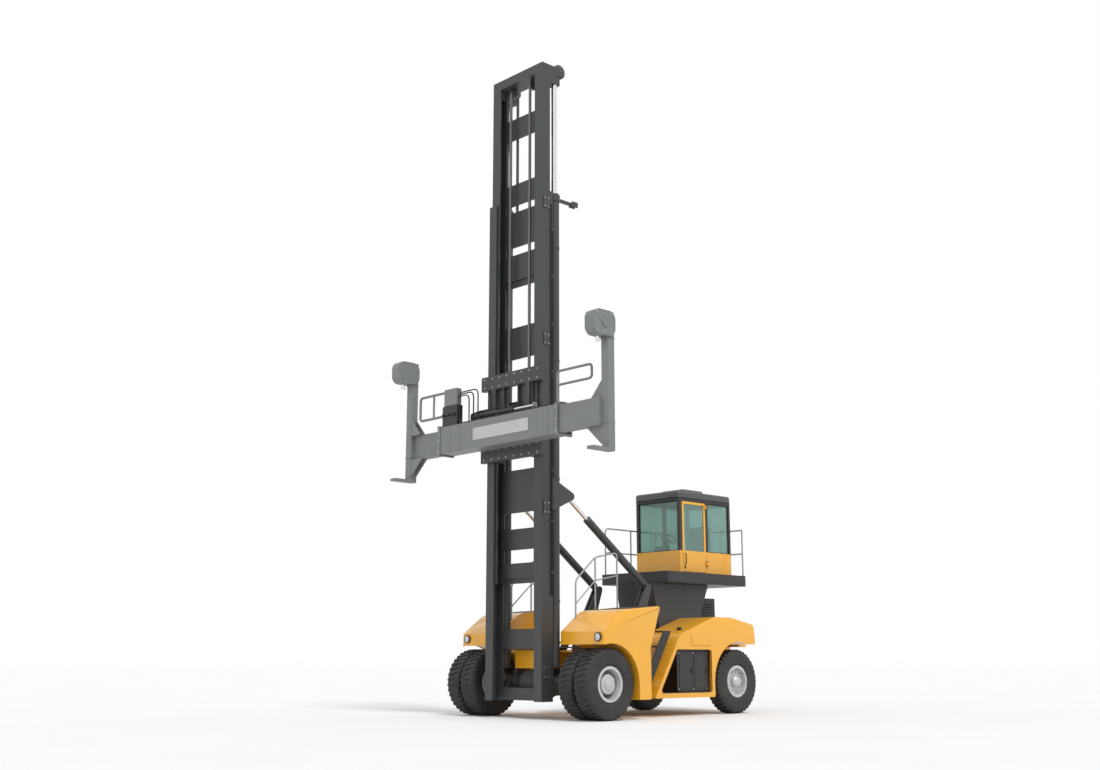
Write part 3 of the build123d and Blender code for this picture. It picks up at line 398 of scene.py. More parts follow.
def red_lens():
    return lens("Red lamp lens", (0.42, 0.012, 0.010), 0.6)


def amber_lens():
    return lens("Amber lamp lens", (0.72, 0.22, 0.010), 0.6)


def seat_cloth():
    """A woven cover with a fine cross weave."""

    def build(tree, shader):
        place = object_place(tree)
        weave = []
        for axis, scale in (("X", 130.0), ("Z", 130.0)):
            band = add(tree, "ShaderNodeTexWave", bands_direction=axis)
            band.inputs["Scale"].default_value = scale
            tree.links.new(place, band.inputs["Vector"])
            weave.append(band.outputs["Fac"])
        both = math_node(tree, "MAXIMUM", *weave)
        wear = ramp(tree, noise(tree, place, 8.0, 5.0), 0.4, 0.7)
        shade = mix_colour(tree, wear, (0.028, 0.029, 0.031), (0.055, 0.055, 0.057))
        tree.links.new(shade, shader.inputs["Base Color"])
        tree.links.new(ramp(tree, both, 0.0, 1.0, 0.75, 0.92), shader.inputs["Roughness"])
        raise_surface(tree, shader, both, 0.35, 0.0015)

    return material("Seat cloth", build)


NODE_FINISHES = {
    yellow_paint: (
        "frame", "front_fenders", "fender_decks", "rear_body", "counterweight", "cab_tub", "cab_door",
    ),
    mast_paint: (
        "outer_mast", "inner_mast", "lift_barrels", "carriage", "cab_tower", "tilt_barrel_left",
        "tilt_barrel_right", "tilt_brackets",
    ),
    spreader_paint: ("spreader_beam", "arm_left", "arm_right"),
    axle_paint: ("drive_axle", "steer_axle", "knuckle_left", "knuckle_right"),
    engine_paint: ("engine",),
    black_paint: (
        "hood", "platform", "side_steps", "side_tanks", "cab_frame", "head_lamps", "door_hinges",
    ),
    rim_paint: ("rim_front_left", "rim_front_right", "rim_rear_left", "rim_rear_right"),
    rod_steel: ("lift_rods", "tilt_rod_left", "tilt_rod_right", "twistlock_left", "twistlock_right"),
    chain_steel: ("lift_chains", "chain_sheaves"),
    tyre_rubber: ("tyre_front_left", "tyre_front_right", "tyre_rear_left", "tyre_rear_right"),
    window_glass: ("cab_glass", "door_glass"),
    seat_cloth: ("seat_unit",),
    rail_steel: ("platform_rails",),
}


# Shapes


DRIVE_AXLE_Y = -2.02


def aft(distance):
    """The Y of a place this far behind the drive axle, in metres."""
    return distance + DRIVE_AXLE_Y


class Shape:
    """Points and faces gathered for one piece."""

    def __init__(self):
        self.points, self.faces = [], []

    def add(self, points, faces, matrix=None):
        """Takes in points and faces, moved by a matrix if one is given."""
        base = len(self.points)
        for point in points:
            self.points.append(matrix @ Vector(point) if matrix else Vector(point))
        self.faces += [tuple(base + corner for corner in face) for face in faces]
        return self

    def box(self, low, high, edge=0.004, matrix=None):
        """A box between two corners, every edge chamfered."""
        low, high = ([op(a, b) for a, b in zip(low, high)] for op in (min, max))
        edge = min(edge, *(0.45 * (b - a) for a, b in zip(low, high)))
        signs = [(x, y, z) for x in (0, 1) for y in (0, 1) for z in (0, 1)]
        points = []
        for sign in signs:
            for axis in range(3):
                place = []
                for other in range(3):
                    inset = 0.0 if other == axis else edge
                    place.append(low[other] + inset if sign[other] == 0 else high[other] - inset)
                points.append(place)
        number = {(sign, axis): 3 * count + axis for count, sign in enumerate(signs) for axis in range(3)}
        faces = [[number[sign, axis] for axis in range(3)] for sign in signs]
        for axis in range(3):
            first, second = [other for other in range(3) if other != axis]

            def put(along, a, b):
                sign = [0, 0, 0]
                sign[axis], sign[first], sign[second] = along, a, b
                return tuple(sign)

            for along in (0, 1):
                faces.append([number[put(along, a, b), axis] for a, b in ((0, 0), (1, 0), (1, 1), (0, 1))])
            for a in (0, 1):
                for b in (0, 1):
                    near, far = put(0, a, b), put(1, a, b)
                    corners = ((near, first), (far, first), (far, second), (near, second))
                    faces.append([number[corner] for corner in corners])
        middle = Vector([(a + b) / 2 for a, b in zip(low, high)])
        turned = []
        for face in faces:
            corners = [Vector(points[corner]) for corner in face]
            normal = (corners[1] - corners[0]).cross(corners[2] - corners[1])
            centre = sum(corners, Vector()) / len(corners)
            turned.append(face if normal.dot(centre - middle) > 0 else face[::-1])
        return self.add(points, turned, matrix)

    def lathe(self, profile, origin, axis, sides=24, matrix=None):
        """A profile of (along, radius) turned about a line, its ends closed."""
        axis = Vector(axis).normalized()
        across = axis.orthogonal().normalized()
        up = axis.cross(across)
        points, rings = [], []
        for along, radius in profile:
            centre = Vector(origin) + axis * along
            if radius < 1e-6:
                rings.append([len(points)])
                points.append(centre)
                continue
            rings.append(list(range(len(points), len(points) + sides)))
            for count in range(sides):
                angle = 2 * math.pi * count / sides
                points.append(centre + radius * (math.cos(angle) * across + math.sin(angle) * up))
        faces = []
        for near, far in zip(rings, rings[1:]):
            for count in range(sides):
                after = (count + 1) % sides
                if len(near) == 1 and len(far) == 1:
                    continue
                if len(near) == 1:
                    faces.append((near[0], far[after], far[count]))
                elif len(far) == 1:
                    faces.append((near[count], near[after], far[0]))
                else:
                    faces.append((near[count], near[after], far[after], far[count]))
        if len(rings[0]) > 1 and profile[0] != profile[-1]:
            faces.append(tuple(reversed(rings[0])))
            faces.append(tuple(rings[-1]))
        return self.add(points, faces, matrix)

    def rod(self, start, end, radius, sides=12, edge=0.0):
        """A round bar between two points, its ends chamfered."""
        along = Vector(end) - Vector(start)
        size = along.length
        edge = edge or min(0.15 * radius, 0.2 * size)
        profile = [(0.0, radius - edge), (edge, radius), (size - edge, radius), (size, radius - edge)]
        return self.lathe(profile, start, along, sides)

    def tube(self, points, radius, bend=0.05, sides=8):
        """A pipe along corners that are rounded to a bend."""
        path = rounded([Vector(point) for point in points], bend)
        aim = (path[1] - path[0]).normalized()
        across = aim.orthogonal().normalized()
        rings, ring_points = [], []
        for count, point in enumerate(path):
            before = path[max(count - 1, 0)]
            after = path[min(count + 1, len(path) - 1)]
            aim = (after - before).normalized()
            across = (across - aim * across.dot(aim)).normalized()
            up = aim.cross(across)
            rings.append(list(range(len(ring_points), len(ring_points) + sides)))
            for step in range(sides):
                angle = 2 * math.pi * step / sides
                ring_points.append(point + radius * (math.cos(angle) * across + math.sin(angle) * up))
        faces = [tuple(reversed(rings[0])), tuple(rings[-1])]
        for near, far in zip(rings, rings[1:]):
            for step in range(sides):
                after = (step + 1) % sides
                faces.append((near[step], near[after], far[after], far[step]))
        return self.add(ring_points, faces)

    def plate(self, outline, near, far, axis=0, matrix=None):
        """An outline carried from one limit to another along an axis."""
        others = [other for other in range(3) if other != axis]
        points = []
        for level in (near, far):
            for a, b in outline:
                place = [0.0, 0.0, 0.0]
                place[axis], place[others[0]], place[others[1]] = level, a, b
                points.append(place)
        size = len(outline)
        following = [*outline[1:], outline[0]]
        area = sum(a[0] * b[1] - b[0] * a[1] for a, b in zip(outline, following))
        ahead = (area > 0) == (axis != 1)
        if (far > near) != ahead:
            points = points[size:] + points[:size]
        faces = [tuple(reversed(range(size))), tuple(range(size, 2 * size))]
        for count in range(size):
            after = (count + 1) % size
            faces.append((count, after, size + after, size + count))
        return self.add(points, faces, matrix)

    def take(self, mesh):
        """Takes in another mesh's points and faces."""
        faces = [tuple(face.vertices) for face in mesh.polygons]
        return self.add([corner.co.copy() for corner in mesh.vertices], faces)

    def mesh(self, name, smooth=35.0):
        """The gathered shape as a mesh, its curved faces shaded smooth."""
        mesh = bpy.data.meshes.new(name)
        mesh.from_pydata([tuple(point) for point in self.points], [], self.faces)
        work = bmesh.new()
        work.from_mesh(mesh)
        bmesh.ops.remove_doubles(work, verts=work.verts, dist=1e-6)
        work.to_mesh(mesh)
        work.free()
        mesh.validate()
        mesh.update()
        mesh.shade_smooth()
        mesh.set_sharp_from_angle(angle=math.radians(smooth))
        return mesh

    def piece(self, name, make, body, replaces=()):
        """The gathered shape as a piece that rides on a body."""
        mesh = self.mesh(name)
        mesh.materials.append(make())
        return settle(bpy.data.objects.new(name, mesh), body, replaces)


def settle(made, body, replaces=()):
    """Links a finished object and tells the frame what it rides on and stands for."""
    if made.name not in bpy.context.scene.collection.objects:
        bpy.context.scene.collection.objects.link(made)
    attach(made, body)
    if replaces:
        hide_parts(*replaces)
    return made


def rounded(points, bend, steps=4):
    """A path whose inner corners are turned into arcs."""
    path = [points[0]]
    for before, corner, after in zip(points, points[1:], points[2:]):
        back, ahead = before - corner, after - corner
        reach = min(bend, back.length * 0.45, ahead.length * 0.45)
        start, end = corner + back.normalized() * reach, corner + ahead.normalized() * reach
        for step in range(steps + 1):
            share = step / steps
            path.append(start.lerp(corner, share).lerp(corner.lerp(end, share), share))
    return path + [points[-1]]


def copies_tree():
    """Geometry Nodes: one unit copied onto every point and aimed as the point says."""
    tree = bpy.data.node_groups.new("Copies on points", "GeometryNodeTree")
    for text, kind in (
        ("Geometry", "NodeSocketGeometry"), ("Unit", "NodeSocketObject"), ("Size", FLOAT),
        ("Finish", "NodeSocketMaterial"),
    ):
        tree.interface.new_socket(name=text, in_out="INPUT", socket_type=kind)
    tree.interface.new_socket(name="Geometry", in_out="OUTPUT", socket_type="NodeSocketGeometry")
    start, end = tree.nodes.new("NodeGroupInput"), tree.nodes.new("NodeGroupOutput")
    unit = tree.nodes.new("GeometryNodeObjectInfo")
    tree.links.new(start.outputs["Unit"], unit.inputs["Object"])
    turn = None
    for key, axis, pivot in (("aim", "Z", "AUTO"), ("spin", "X", "Z")):
        read = add(tree, "GeometryNodeInputNamedAttribute", data_type="FLOAT_VECTOR")
        read.inputs["Name"].default_value = key
        align = add(tree, "FunctionNodeAlignRotationToVector", axis=axis, pivot_axis=pivot)
        tree.links.new(read.outputs["Attribute"], align.inputs["Vector"])
        if turn:
            tree.links.new(turn, align.inputs["Rotation"])
        turn = align.outputs["Rotation"]
    place = tree.nodes.new("GeometryNodeInstanceOnPoints")
    tree.links.new(start.outputs["Geometry"], place.inputs["Points"])
    tree.links.new(unit.outputs["Geometry"], place.inputs["Instance"])
    tree.links.new(turn, place.inputs["Rotation"])
    tree.links.new(start.outputs["Size"], place.inputs["Scale"])
    real = tree.nodes.new("GeometryNodeRealizeInstances")
    paint_node = tree.nodes.new("GeometryNodeSetMaterial")
    tree.links.new(place.outputs[0], real.inputs[0])
    tree.links.new(real.outputs[0], paint_node.inputs["Geometry"])
    tree.links.new(start.outputs["Finish"], paint_node.inputs["Material"])
    tree.links.new(paint_node.outputs[0], end.inputs[0])
    return tree


def plain_mesh(made, helpers=()):
    """What an object's modifiers make, worked out on a scene of its own."""
    bench = bpy.data.scenes.new("Workbench")
    for item in (made, *helpers):
        bench.collection.objects.link(item)
    layer = bench.view_layers[0]
    layer.update()
    graph = layer.depsgraph
    result = bpy.data.meshes.new_from_object(made.evaluated_get(graph), depsgraph=graph)
    made.modifiers.clear()
    for item in (made, *helpers):
        bench.collection.objects.unlink(item)
    bpy.data.scenes.remove(bench)
    return result


def copies(name, unit, spots, make, body, size=1.0, replaces=()):
    """Copies of a unit shape at (place, aim, spin) spots, joined as one plain piece."""
    tree = bpy.data.node_groups.get("Copies on points") or copies_tree()
    sample = bpy.data.objects.new(f"{name}_unit", unit.mesh(f"{name}_unit"))
    mesh = bpy.data.meshes.new(f"{name}_spots")
    mesh.from_pydata([tuple(spot[0]) for spot in spots], [], [])
    for key, column in (("aim", 1), ("spin", 2)):
        values = mesh.attributes.new(key, "FLOAT_VECTOR", "POINT")
        for item, spot in zip(values.data, spots):
            item.vector = tuple(spot[column]) if len(spot) > column else (1.0, 0.0, 0.0)
    made = bpy.data.objects.new(name, mesh)
    layer = made.modifiers.new("Copies", "NODES")
    layer.node_group = tree
    sockets = {
        item.name: item.identifier for item in tree.interface.items_tree
        if item.item_type == "SOCKET" and item.in_out == "INPUT"
    }
    layer[sockets["Unit"]] = sample
    layer[sockets["Size"]] = size
    layer[sockets["Finish"]] = make()
    result = plain_mesh(made, [sample])
    made.data = result
    if not result.polygons:
        raise RuntimeError(f"{name} came out empty")
    return settle(made, body, replaces)


def bolt_unit(radius, washer=1.5):
    """A hexagon head on a washer, seated a little into what it holds."""
    flat = [(-0.002, radius * washer), (0.1 * radius, radius * washer)]
    unit = Shape().lathe(flat, (0, 0, 0), (0, 0, 1), 14)
    top = 0.75 * radius
    return unit.lathe(
        [(0.05 * radius, radius), (top, radius), (top + 0.1 * radius, 0.85 * radius)], (0, 0, 0), (0, 0, 1), 6
    )


def spot(place, aim, spin=(1.0, 0.0, 0.0)):
    """One place for a copied unit, with the ways its Z and X point."""
    return Vector(place), Vector(aim), Vector(spin)


def ring(centre, axis, radius, count, start=0.0):
    """Places round a circle, each with the circle's axis as its aim."""
    axis = Vector(axis).normalized()
    across = axis.orthogonal().normalized()
    up = axis.cross(across)
    spots = []
    for step in range(count):
        angle = 2 * math.pi * (step + start) / count
        out = math.cos(angle) * across + math.sin(angle) * up
        spots.append((Vector(centre) + out * radius, axis, out))
    return spots


def rounded_outline(corners, steps=6):
    """A closed outline whose corners (a, b, radius) are turned into arcs."""
    points = []
    size = len(corners)
    for count, (a, b, radius) in enumerate(corners):
        here = Vector((a, b, 0.0))
        if not radius:
            points.append((a, b))
            continue
        back = Vector((*corners[count - 1][:2], 0.0)) - here
        ahead = Vector((*corners[(count + 1) % size][:2], 0.0)) - here
        half = back.angle(ahead) / 2
        reach = min(radius / math.tan(half), 0.49 * back.length, 0.49 * ahead.length)
        bulge = back.normalized() + ahead.normalized()
        centre = here + bulge.normalized() * (reach / math.cos(half))
        start = here + back.normalized() * reach - centre
        end = here + ahead.normalized() * reach - centre
        for step in range(steps + 1):
            share = step / steps
            spoke = start.lerp(end, share).normalized() * start.length
            points.append(tuple((centre + spoke)[:2]))
    return points


def rectangle(near, far, low, high, radius):
    """A rectangle's outline between two limits each way, its corners rounded."""
    corners = ((near, low), (far, low), (far, high), (near, high))
    return rounded_outline([(*corner, radius) for corner in corners])


def arc(centre, radius, start, end, steps=12):
    """Corners (a, b, 0) along an arc, angles in degrees."""
    spots = []
    for step in range(steps + 1):
        angle = math.radians(start + (end - start) * step / steps)
        spots.append((centre[0] + radius * math.cos(angle), centre[1] + radius * math.sin(angle), 0))
    return spots


def soften(mesh, test, width, segments=3):
    """Rounds the edges of a mesh whose two ends pass a test."""
    work = bmesh.new()
    work.from_mesh(mesh)
    chosen = [edge for edge in work.edges if test(edge.verts[0].co, edge.verts[1].co)]
    bmesh.ops.bevel(work, geom=chosen, offset=width, segments=segments, profile=0.5, affect="EDGES")
    work.to_mesh(mesh)
    work.free()
    mesh.validate()
    mesh.update()
    return mesh


def carved(mesh, cutters):
    """A mesh with other closed meshes cut out of it."""
    made = bpy.data.objects.new("Carving", mesh)
    tools = [bpy.data.objects.new("Cutter", cutter) for cutter in cutters]
    for tool in tools:
        layer = made.modifiers.new("Cut", "BOOLEAN")
        layer.operation, layer.solver, layer.object = "DIFFERENCE", "EXACT", tool
    result = plain_mesh(made, tools)
    result.shade_smooth()
    result.set_sharp_from_angle(angle=math.radians(35.0))
    return result


def prism(outline, near, far, name="Prism", axis=0):
    """A closed mesh of an outline carried along an axis."""
    return Shape().plate(outline, near, far, axis).mesh(name)


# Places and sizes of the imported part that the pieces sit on, in metres
FENDER = dict(inner=0.88, outer=2.05, front=0.33, back=1.39, front_top=2.05, back_top=2.145)
WHEEL_RADIUS, FRONT_WHEEL_X, TWIN_HALF, REAR_WHEEL_X = 0.665, 1.635, 0.211, 1.27
WHEELBASE = 4.5
MAST_SIDE, MAST_BACK = 0.82, aft(-0.35)
LIFT_BARREL = dict(x=0.715, y=aft(-0.21), radius=0.105)
CHAIN_X, CHAIN_PITCH = 0.30, 0.0762
OUTER_CROSS_PLATES = ((9.65, 10.43), (8.76, 9.18), (7.21, 7.89), (3.27, 3.69), (2.60, 2.84), (1.32, 1.71))
BEAM_FRONT, BEAM_BACK, BEAM_LOW, BEAM_TOP = aft(-1.16), aft(-0.80), 5.30, 5.87
CARRIAGE_FRONT = aft(-0.76)
ARM_OUT, HEAD_SIDE = 2.96, 3.085
PANE_LOW, PANE_HIGH = 3.458, 4.532
PLATFORM_TOP = 2.918
LAMP = dict(x=1.90, y=aft(-0.08), z=1.535, radius=0.070, deep=0.155)
BODY_HALF = 1.50
FRAME_HALF = 0.54


class HANDLER_OT_fenders(bpy.types.Operator):
    """Makes the arched front fenders, their mats and the head lamps in them"""

    bl_idname = "handler.fenders"
    bl_label = "Front fenders"

    def execute(self, context):
        hub = (aft(0.0), WHEEL_RADIUS)
        corners = [
            (aft(-0.20), 1.64, 0), (aft(FENDER["front"]), FENDER["front_top"], 0.42),
            (aft(FENDER["back"]), FENDER["back_top"], 0.06), (aft(FENDER["back"]), 2.065, 0.02),
            (aft(1.08), 1.33, 0.16), (aft(1.08), 0.37, 0.02),
            (aft(0.76), 0.37, 0.02),
        ]
        outline = rounded_outline(corners + arc(hub, 0.76, 0.0, 105.3))
        meshes = []
        for side in SIDES.values():
            mesh = prism(outline, side * FENDER["inner"], side * FENDER["outer"], "Fender")

            def outer_rim(a, b):
                return all(abs(abs(v.x) - FENDER["outer"]) < 1e-4 and v.z > 1.66 for v in (a, b))

            soften(mesh, outer_rim, 0.045)
            start = (side * LAMP["x"], LAMP["y"] - LAMP["deep"] - 0.1, LAMP["z"])
            bore = LAMP["radius"] + 0.006
            hole = Shape().lathe([(0.0, bore), (0.2, bore)], start, (0, 1, 0), 28)
            meshes.append(carved(mesh, [hole.mesh("Socket")]))
        both = Shape()
        for mesh in meshes:
            both.take(mesh)
        both.piece("Front_fenders", yellow_paint, "chassis", ("front_fenders",))

        lamps, glass, mats, hems = Shape(), Shape(), Shape(), Shape()
        for side in SIDES.values():
            nose = (side * LAMP["x"], LAMP["y"] - LAMP["deep"], LAMP["z"])
            radius = LAMP["radius"]
            lamps.lathe(
                [
                    (0.0, radius), (-0.006, radius + 0.008), (0.0, radius + 0.016), (0.02, radius + 0.016),
                    (0.02, radius), (0.155, radius * 0.8), (0.155, 0.0),
                ],
                nose, (0, 1, 0), 28,
            )
            bulge = [(-0.010, 0.0), (-0.008, radius * 0.6), (0.0, radius * 0.96), (0.012, radius * 0.96)]
            glass.lathe(bulge, nose, (0, 1, 0), 28)
            x_in, x_out = side * (FENDER["inner"] + 0.10), side * (FENDER["outer"] - 0.14)
            rise = (FENDER["back_top"] - FENDER["front_top"]) / (FENDER["back"] - FENDER["front"])
            slope = math.atan(rise)
            for near in (0.60, 0.845, 1.09):
                top = FENDER["front_top"] + (near - FENDER["front"]) * rise
                turn = Matrix.Translation((0, aft(near), top + 0.002))
                turn = turn @ Matrix.Rotation(slope, 4, "X")
                mats.box((x_in, 0.0, -0.004), (x_out, 0.225, 0.005), 0.002, turn)
            hems.tube([(side * FENDER["outer"], *point) for point in outline[-13:]], 0.012, 0.0, 6)
            skirt = [(side * 2.046, aft(y), z) for y, z in ((1.08, 1.28), (1.08, 0.38), (0.77, 0.38))]
            hems.tube(skirt, 0.010, 0.02, 6)
        lamps.piece("Head_lamp_rims", black_paint, "chassis", ("head_lamps",))
        glass.piece("Head_lamp_glass", clear_lens, "chassis")
        mats.piece("Fender_mats", moulding, "chassis")
        hems.piece("Fender_hems", yellow_paint, "chassis")
        return {"FINISHED"}


class HANDLER_OT_rear_body(bpy.types.Operator):
    """Makes the rear wings, the tanks' fittings, the tail lamps and the counterweight's wings"""

    bl_idname = "handler.rear_body"
    bl_label = "Rear body"

    def execute(self, context):
        hub = (aft(WHEELBASE), WHEEL_RADIUS)
        corners = [
            (aft(1.80), 0.36, 0.03), (aft(2.60), 1.64, 0.26), (aft(3.72), 2.0, 0.7), (aft(4.32), 2.0, 0.7),
            (aft(5.06), 1.86, 0.08), (aft(5.06), 1.44, 0.04),
        ]
        outline = rounded_outline(corners + arc(hub, 0.825, 69.95, 180.0, 16) + [(aft(3.675), 0.36, 0.03)])
        inner = [
            (aft(1.873), 0.40, 0.0), (aft(2.63), 1.60, 0.24), (aft(3.73), 1.955, 0.66),
            (aft(4.31), 1.955, 0.66), (aft(5.02), 1.825, 0.05), (aft(5.02), 1.48, 0.0),
        ]
        hollow = rounded_outline(inner + arc(hub, 0.865, 70.5, 180.0, 16) + [(aft(3.635), 0.40, 0.0)])
        lean = (2.60 - 1.80) / (1.64 - 0.36)
        window = rounded_outline([
            (aft(1.905 + lean * 0.105), 0.465, 0.05), (aft(1.905 + lean * 0.955), 1.315, 0.05),
            (aft(3.57), 1.315, 0.05), (aft(3.57), 0.465, 0.05),
        ])
        both, seals, doors, seams = Shape(), Shape(), Shape(), Shape()
        for side in SIDES.values():
            mesh = prism(outline, side * FRAME_HALF, side * BODY_HALF, "Wing")

            def outer_rim(a, b):
                return all(abs(abs(v.x) - BODY_HALF) < 1e-4 and v.z > 1.66 for v in (a, b))

            soften(mesh, outer_rim, 0.045)
            cutters = [
                prism(hollow, side * (FRAME_HALF - 0.01), side * (BODY_HALF - 0.04), "Hollow"),
                prism(window, side * (BODY_HALF - 0.08), side * (BODY_HALF + 0.02), "Window"),
            ]
            mesh = carved(mesh, cutters)
            both.take(mesh)
            rim = [(side * (BODY_HALF + 0.001), a, b) for a, b in window]
            seals.tube(rim + rim[:2], 0.007, 0.0, 6)
            doors.plate(rectangle(aft(2.55), aft(3.53), 0.50, 1.28, 0.03), side * 1.422, side * 1.436)
            for near in (2.62, 3.08):
                panel = rectangle(aft(near), aft(near + 0.40), 0.56, 1.22, 0.03)
                doors.plate(panel, side * 1.434, side * 1.444)
            corners = ((2.95, 1.62), (2.95, 1.40), (3.58, 1.40))
            seams.tube([(side * (BODY_HALF + 0.0005), aft(y), z) for y, z in corners], 0.0035, 0.02, 4)
        both.piece("Rear_wings", yellow_paint, "chassis", ("rear_body",))
        seals.piece("Wing_window_seals", moulding, "chassis")
        doors.piece("Tank_hatches", black_paint, "chassis")
        seams.piece("Wing_seams", moulding, "chassis")

        weights = Shape()
        for side in SIDES.values():
            wing = rounded_outline([
                (side * 0.535, aft(5.07), 0), (side * 1.04, aft(5.07), 0.02), (side * 1.04, aft(5.41), 0.11),
                (side * 0.535, aft(5.41), 0),
            ])
            mesh = prism(wing, 1.39, 1.76, "Weight", 2)
            soften(mesh, lambda a, b: min(a.z, b.z) > 1.759, 0.02, 2)
            weights.take(mesh)
        weights.piece("Counterweight_wings", yellow_paint, "chassis")

        pods, red, amber, caps, bolts = Shape(), Shape(), Shape(), Shape(), []
        for side in SIDES.values():
            low, high = (side * 0.62, aft(5.405), 1.50), (side * 0.98, aft(5.428), 1.62)
            pods.box(low, high, 0.01)
            red.box((side * 0.64, aft(5.42), 1.515), (side * 0.80, aft(5.438), 1.605), 0.006)
            amber.box((side * 0.82, aft(5.42), 1.515), (side * 0.96, aft(5.438), 1.605), 0.006)
            cap = [(0.0, 0.055), (0.012, 0.055), (0.014, 0.048), (0.045, 0.046), (0.050, 0.040), (0.050, 0.0)]
            caps.lathe(cap, (side * 1.25, aft(2.86), 1.722), (0, -0.305, 0.952), 20)
            for y in (2.98, 3.44):
                caps.box((side * 1.444, aft(y), 0.84), (side * 1.462, aft(y + 0.025), 0.94), 0.006)
            for y in (2.60, 3.05, 3.50):
                for z in (0.53, 1.25):
                    bolts.append(spot((side * 1.436, aft(y), z), (side, 0, 0)))
            for x in (0.62, 0.90):
                for z in (1.44, 1.70):
                    bolts.append(spot((side * x, aft(5.41), z), (0, 1, 0)))
        pods.piece("Tail_lamp_pods", black_paint, "chassis")
        red.piece("Tail_lamps", red_lens, "chassis")
        amber.piece("Turn_lamps", amber_lens, "chassis")
        caps.piece("Filler_caps_and_latches", moulding, "chassis")
        copies("Rear_body_bolts", bolt_unit(sizes().bolt * 0.7), bolts, zinc_steel, "chassis")
        return {"FINISHED"}


class HANDLER_OT_tyres(bpy.types.Operator):
    """Makes the treaded tyres, valves, hub caps and their bolts"""

    bl_idname = "handler.tyres"
    bl_label = "Tyres and hubs"

    def execute(self, context):
        deep = sizes().tread_deep
        half = [
            (0.134, 0.304), (0.134, 0.332), (0.150, 0.345), (0.166, 0.385), (0.1685, 0.392), (0.172, 0.395),
            (0.1785, 0.46), (0.1795, 0.49), (0.1785, 0.535), (0.181, 0.541), (0.1785, 0.547), (0.175, 0.585),
            (0.170, 0.612), (0.160, 0.632), (0.140, 0.664 - deep), (0.0, 0.666 - deep),
        ]
        profile = half + [(-x, radius) for x, radius in reversed(half[:-1])]
        shoulder = Shape().plate(
            rounded_outline([
                (0.060, 0.0006, 0), (0.060, -deep - 0.006, 0), (0.135, -deep - 0.006, 0), (0.160, -0.045, 0),
                (0.1725, -0.060, 0), (0.1715, -0.048, 0), (0.142, 0.0004, 0.006),
            ]), -0.021, 0.021, 1,
        )
        middle = Shape()
        slant = Matrix.Rotation(math.radians(28), 4, "Z")
        middle.box((-0.050, -0.018, -deep - 0.006), (0.050, 0.018, 0.0004), 0.003, slant)
        lugs_round = 38
        for name, centre_x, centre_y in (
            ("front_left", FRONT_WHEEL_X, aft(0.0)), ("front_right", -FRONT_WHEEL_X, aft(0.0)),
            ("rear_left", REAR_WHEEL_X, aft(WHEELBASE)), ("rear_right", -REAR_WHEEL_X, aft(WHEELBASE)),
        ):
            body = f"wheel_{name}"
            twin = "front" in name
            places = [centre_x - TWIN_HALF, centre_x + TWIN_HALF] if twin else [centre_x]
            carcass = Shape()
            lugs, centres = [], []
            for x in places:
                centre = Vector((x, centre_y, WHEEL_RADIUS))
                carcass.lathe(profile + [profile[0]], centre, (1, 0, 0), 72)
                for step in range(lugs_round):
                    for way, share, spots in ((1, 0.0, lugs), (-1, 0.5, lugs), (0, 0.25, centres)):
                        angle = 2 * math.pi * (step + share) / lugs_round
                        out = Vector((0.0, math.cos(angle), math.sin(angle)))
                        spots.append((centre + out * 0.6642, out, Vector((way or 1, 0, 0))))
            carcass.piece(f"Tyre_carcass_{name}", tyre_rubber, body, (f"tyre_{name}",))
            copies(f"Tyre_lugs_{name}", shoulder, lugs, tyre_rubber, body)
            copies(f"Tyre_blocks_{name}", middle, centres, tyre_rubber, body)
            side = 1 if centre_x > 0 else -1
            if twin:
                face, stem_x, stem_out = side * 1.935, side * 1.72, 0.27
                cap = [
                    (-0.01, 0.182), (0.012, 0.182), (0.016, 0.170), (0.022, 0.110), (0.040, 0.104),
                    (0.044, 0.09), (0.044, 0.0),
                ]
                bolt_rings = ((0.014, 0.150, 12), (0.042, 0.060, 6))
            else:
                face, stem_x, stem_out = side * (REAR_WHEEL_X + 0.135), side * 1.34, 0.25
                cap = [
                    (-0.01, 0.118), (0.010, 0.118), (0.030, 0.100), (0.050, 0.085), (0.056, 0.070),
                    (0.056, 0.0),
                ]
                bolt_rings = ((0.010, 0.108, 8),)
            caps = Shape().lathe(cap, (face, centre_y, WHEEL_RADIUS), (side, 0, 0), 32)
            caps.piece(f"Hub_cap_{name}", rim_paint, body)
            hub_bolts = []
            for proud, radius, number in bolt_rings:
                middle_of_ring = (face + side * proud, centre_y, WHEEL_RADIUS)
                hub_bolts += ring(middle_of_ring, (side, 0, 0), radius, number)
            copies(f"Hub_bolts_{name}", bolt_unit(sizes().bolt * 0.6), hub_bolts, zinc_steel, body)
            stem = []
            for proud, y_share, z_share in ((0.0, 0.8, 0.6), (0.06, 0.8, 0.6), (0.10, 0.72, 0.54)):
                height = WHEEL_RADIUS + stem_out * z_share
                stem.append((stem_x + side * proud, centre_y + stem_out * y_share, height))
            Shape().tube(stem, 0.006, 0.02, 8).piece(f"Valve_{name}", zinc_steel, body)
        return {"FINISHED"}


